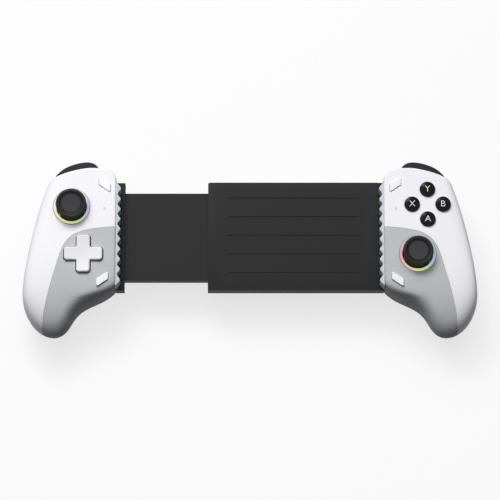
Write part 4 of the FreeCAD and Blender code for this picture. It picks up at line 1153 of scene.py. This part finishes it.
def linear(colour):
    """Scene values of a colour that is written as 0 to 255 display values."""
    display = [value / 255 for value in colour]
    return [value / 12.92 if value <= 0.04045 else ((value + 0.055) / 1.055) ** 2.4 for value in display]


def set_inputs(node, inputs):
    """Gives a node's inputs their values; where a value is another node's output, it is linked."""
    for name, value in inputs.items():
        if isinstance(value, bpy.types.NodeSocket):
            node.id_data.links.new(value, node.inputs[name])
        else:
            node.inputs[name].default_value = value


def add_node(tree, kind, inputs, output=0, **settings):
    """Adds a shader node with the given inputs and settings, and gives back one of its outputs."""
    node = tree.nodes.new("ShaderNode" + kind)
    for setting, value in settings.items():
        setattr(node, setting, value)
    set_inputs(node, inputs)
    return node.outputs[output]


def add_ramp(tree, factor, stops):
    """A colour ramp through stops of position and scene colour."""
    colour = add_node(tree, "ValToRGB", {"Fac": factor}, "Color")
    elements = colour.node.color_ramp.elements
    while len(elements) < len(stops):
        elements.new(0.5)
    for element, (position, values) in zip(elements, stops):
        element.position = position
        element.color = values + [1.0]
    return colour


def grained(name, colour, roughness, grain, depth, mottle, specular, metallic=0.0):
    """A moulded surface: fine grain as bump, with slight changes of tone and gloss."""
    material = bpy.data.materials.new(name)
    material.use_nodes = True
    tree = material.node_tree
    place = add_node(tree, "TexCoord", {}, "Object")
    fine, broad = [add_node(tree, "TexNoise", {"Vector": place, "Scale": scale, "Detail": detail}, "Fac")
                   for scale, detail in ((1 / (grain * MM), fine_detail), (broad_scale, broad_detail))]
    tones = [[min(1.0, value * (1 + change)) for value in linear(colour)] for change in (-mottle, mottle)]
    gloss = {"Value": broad, "To Min": roughness - gloss_change, "To Max": roughness + gloss_change}
    bump = {"Height": fine, "Strength": bump_strength, "Distance": depth * MM}
    set_inputs(tree.nodes["Principled BSDF"], {
        "Base Color": add_ramp(tree, broad, list(zip(tone_span, tones))),
        "Roughness": add_node(tree, "MapRange", gloss),
        "Normal": add_node(tree, "Bump", bump),
        "Specular IOR Level": specular,
        "Metallic": metallic,
    })
    return material


def glowing_ring(name, side):
    """Frosted light guide whose colour turns with the angle around the stick; its glow is dimmed at the
    outer lip as painted shade of the gap round the ring.
    """
    material = grained(name + "_ring_light", *ring_finish)
    tree = material.node_tree
    x, y = stick_places[name]
    place = add_node(tree, "TexCoord", {}, "Object")
    shift = add_node(tree, "Mapping", {"Vector": place, "Location": (-x * side * MM, -y * MM, 0.0)})
    wheel = add_node(tree, "TexGradient", {"Vector": shift}, "Fac", gradient_type="RADIAL")
    flat = add_node(tree, "VectorMath", {0: shift, 1: (1.0, 1.0, 0.0)}, operation="MULTIPLY")
    away = add_node(tree, "VectorMath", {0: flat}, "Value", operation="LENGTH")
    # Painted shade: the glow drops towards the outer lip, where the gap round the ring lies in shade.
    glow_with_lip_shade = {"Value": away, "From Min": ring_shaded_lip[0] * MM, "From Max": ring_shaded_lip[1] * MM,
            "To Min": ring_glow, "To Max": ring_glow * painted_lip_shade}
    stops = [(degrees / 360 + 0.5, linear(colour)) for degrees, colour in ring_stops[name]]
    set_inputs(tree.nodes["Principled BSDF"], {
        "Emission Color": add_ramp(tree, wheel, stops),
        "Emission Strength": add_node(tree, "MapRange", glow_with_lip_shade, interpolation_type="SMOOTHSTEP"),
    })
    return material


def dress(obj, material):
    obj.data.materials.clear()
    obj.data.materials.append(material)


def fit_out(piece, slot, material=None):
    """Dresses a new piece in the material of one of the record's slots, or in a material of its own."""
    dress(piece, material or materials[slot])


# Pieces
skins = build_skins(Form())
materials = {name: grained(name, *finish) for name, finish in finishes.items()}
slots = {row["node"]: row["material_slot"] for row in frame["record"]["subparts"]}
for node, obj in frame["nodes"].items():
    dress(obj, materials[slots[node]])
for skin in skins:
    fit_out(skin, slots[skin.name.replace("_skin", "")])
for name, side in SIDES.items():
    cap = stick_cap(name, side)
    fit_out(cap, "stick_rubber")
    paint_disc(cap, name, side, materials["disc_rubber"])
    fit_out(light_ring(name, side), "light_guide", glowing_ring(name, side))
    for which in small_places:
        fit_out(small_button(name, side, which), "button_white")
    fit_out(shoulder_button(name, side), "black_plastic")
    fit_out(trigger_paddle(name, side), "black_plastic")
    fit_out(phone_pad(name, side), "pad_rubber")
fit_out(return_springs(), "steel")
fit_out(bridge_cover(), "black_plastic")
fit_out(direction_pad(), "button_white", materials["cross_white"])
for letter, (x, y) in cluster_points().items():
    cap, mark = face_button(letter, x, y)
    fit_out(cap, "button_black")
    fit_out(mark, "button_black", materials["letter_white"])


# Floor, light and camera

def world_light():
    """Soft white light that comes mostly from above and from beyond the top edge."""
    world = bpy.data.worlds.new("studio")
    bpy.context.scene.world = world
    world.use_nodes = True
    tree = world.node_tree
    tree.nodes.remove(tree.nodes["Background"])
    place = add_node(tree, "TexCoord", {}, "Generated")
    dot = add_node(tree, "VectorMath", {0: place, 1: sky_towards}, "Value", operation="DOT_PRODUCT")
    level = {"Value": dot, "From Min": sky_span[0], "From Max": sky_span[1], "To Max": sky_strength}
    strength = add_node(tree, "MapRange", level, interpolation_type="SMOOTHSTEP")
    light = add_node(tree, "Background", {"Color": white, "Strength": strength})
    backdrop = add_node(tree, "Background", {"Color": white})
    shader = add_node(tree, "MixShader", {0: seen_directly(tree), 1: light, 2: backdrop})
    set_inputs(tree.nodes["World Output"], {"Surface": shader})


def seen_directly(tree):
    """1 for camera, glossy and transmission rays, 0 for the rays that carry light between surfaces."""
    seen = add_node(tree, "LightPath", {}, "Is Camera Ray")
    rays = seen.node.outputs
    for ray in ("Is Glossy Ray", "Is Transmission Ray"):
        seen = add_node(tree, "Math", {0: seen, 1: rays[ray]}, operation="MAXIMUM")
    return seen


def floor():
    """A plain white floor that shows the object's shadow and throws little light back at it."""
    mesh = bpy.data.meshes.new("floor")
    corners = rectangle(-floor_half, floor_half, -floor_half, floor_half)
    mesh.from_pydata([(x, y, -floor_drop) for x, y in corners], [], [(0, 1, 2, 3)])
    material = bpy.data.materials.new("floor_white")
    material.use_nodes = True
    tree = material.node_tree
    tree.nodes.remove(tree.nodes["Principled BSDF"])
    bounce = add_node(tree, "BsdfDiffuse", {"Color": floor_bounce})
    lit = add_node(tree, "BsdfDiffuse", {"Color": floor_white})
    glow = add_node(tree, "Emission", {"Color": white})
    shadowed = add_node(tree, "MixShader", {0: floor_glow, 1: lit, 2: glow})
    shader = add_node(tree, "MixShader", {0: seen_directly(tree), 1: bounce, 2: shadowed})
    set_inputs(tree.nodes["Material Output"], {"Surface": shader})
    mesh.materials.append(material)
    placed("floor", mesh)


def softbox():
    """One large soft lamp beyond the top edge."""
    light = bpy.data.lights.new("key", "AREA")
    light.shape = "RECTANGLE"
    light.size, light.size_y = key_size
    light.energy = key_power
    lamp = placed("key", light)
    lamp.location = key_place
    lamp.rotation_euler = (Vector(key_target) - Vector(key_place)).to_track_quat("-Z", "Y").to_euler()


def photo_camera():
    """Camera at the photograph's angle; the view's width at the face is camera_span."""
    elevation = math.radians(camera_elevation)
    data = bpy.data.cameras.new("camera")
    data.sensor_width = sensor
    data.lens = sensor * camera_distance / camera_span
    camera = placed("camera", data)
    away = Vector((0.0, -math.cos(elevation), math.sin(elevation)))
    camera.location = Vector((0.0, camera_y, face_height * MM)) + away * camera_distance
    camera.rotation_euler = (-away).to_track_quat("-Z", "Y").to_euler()
    bpy.context.scene.camera = camera


world_light()
floor()
softbox()
photo_camera()
bpy.context.scene.view_settings.view_transform = "Standard"
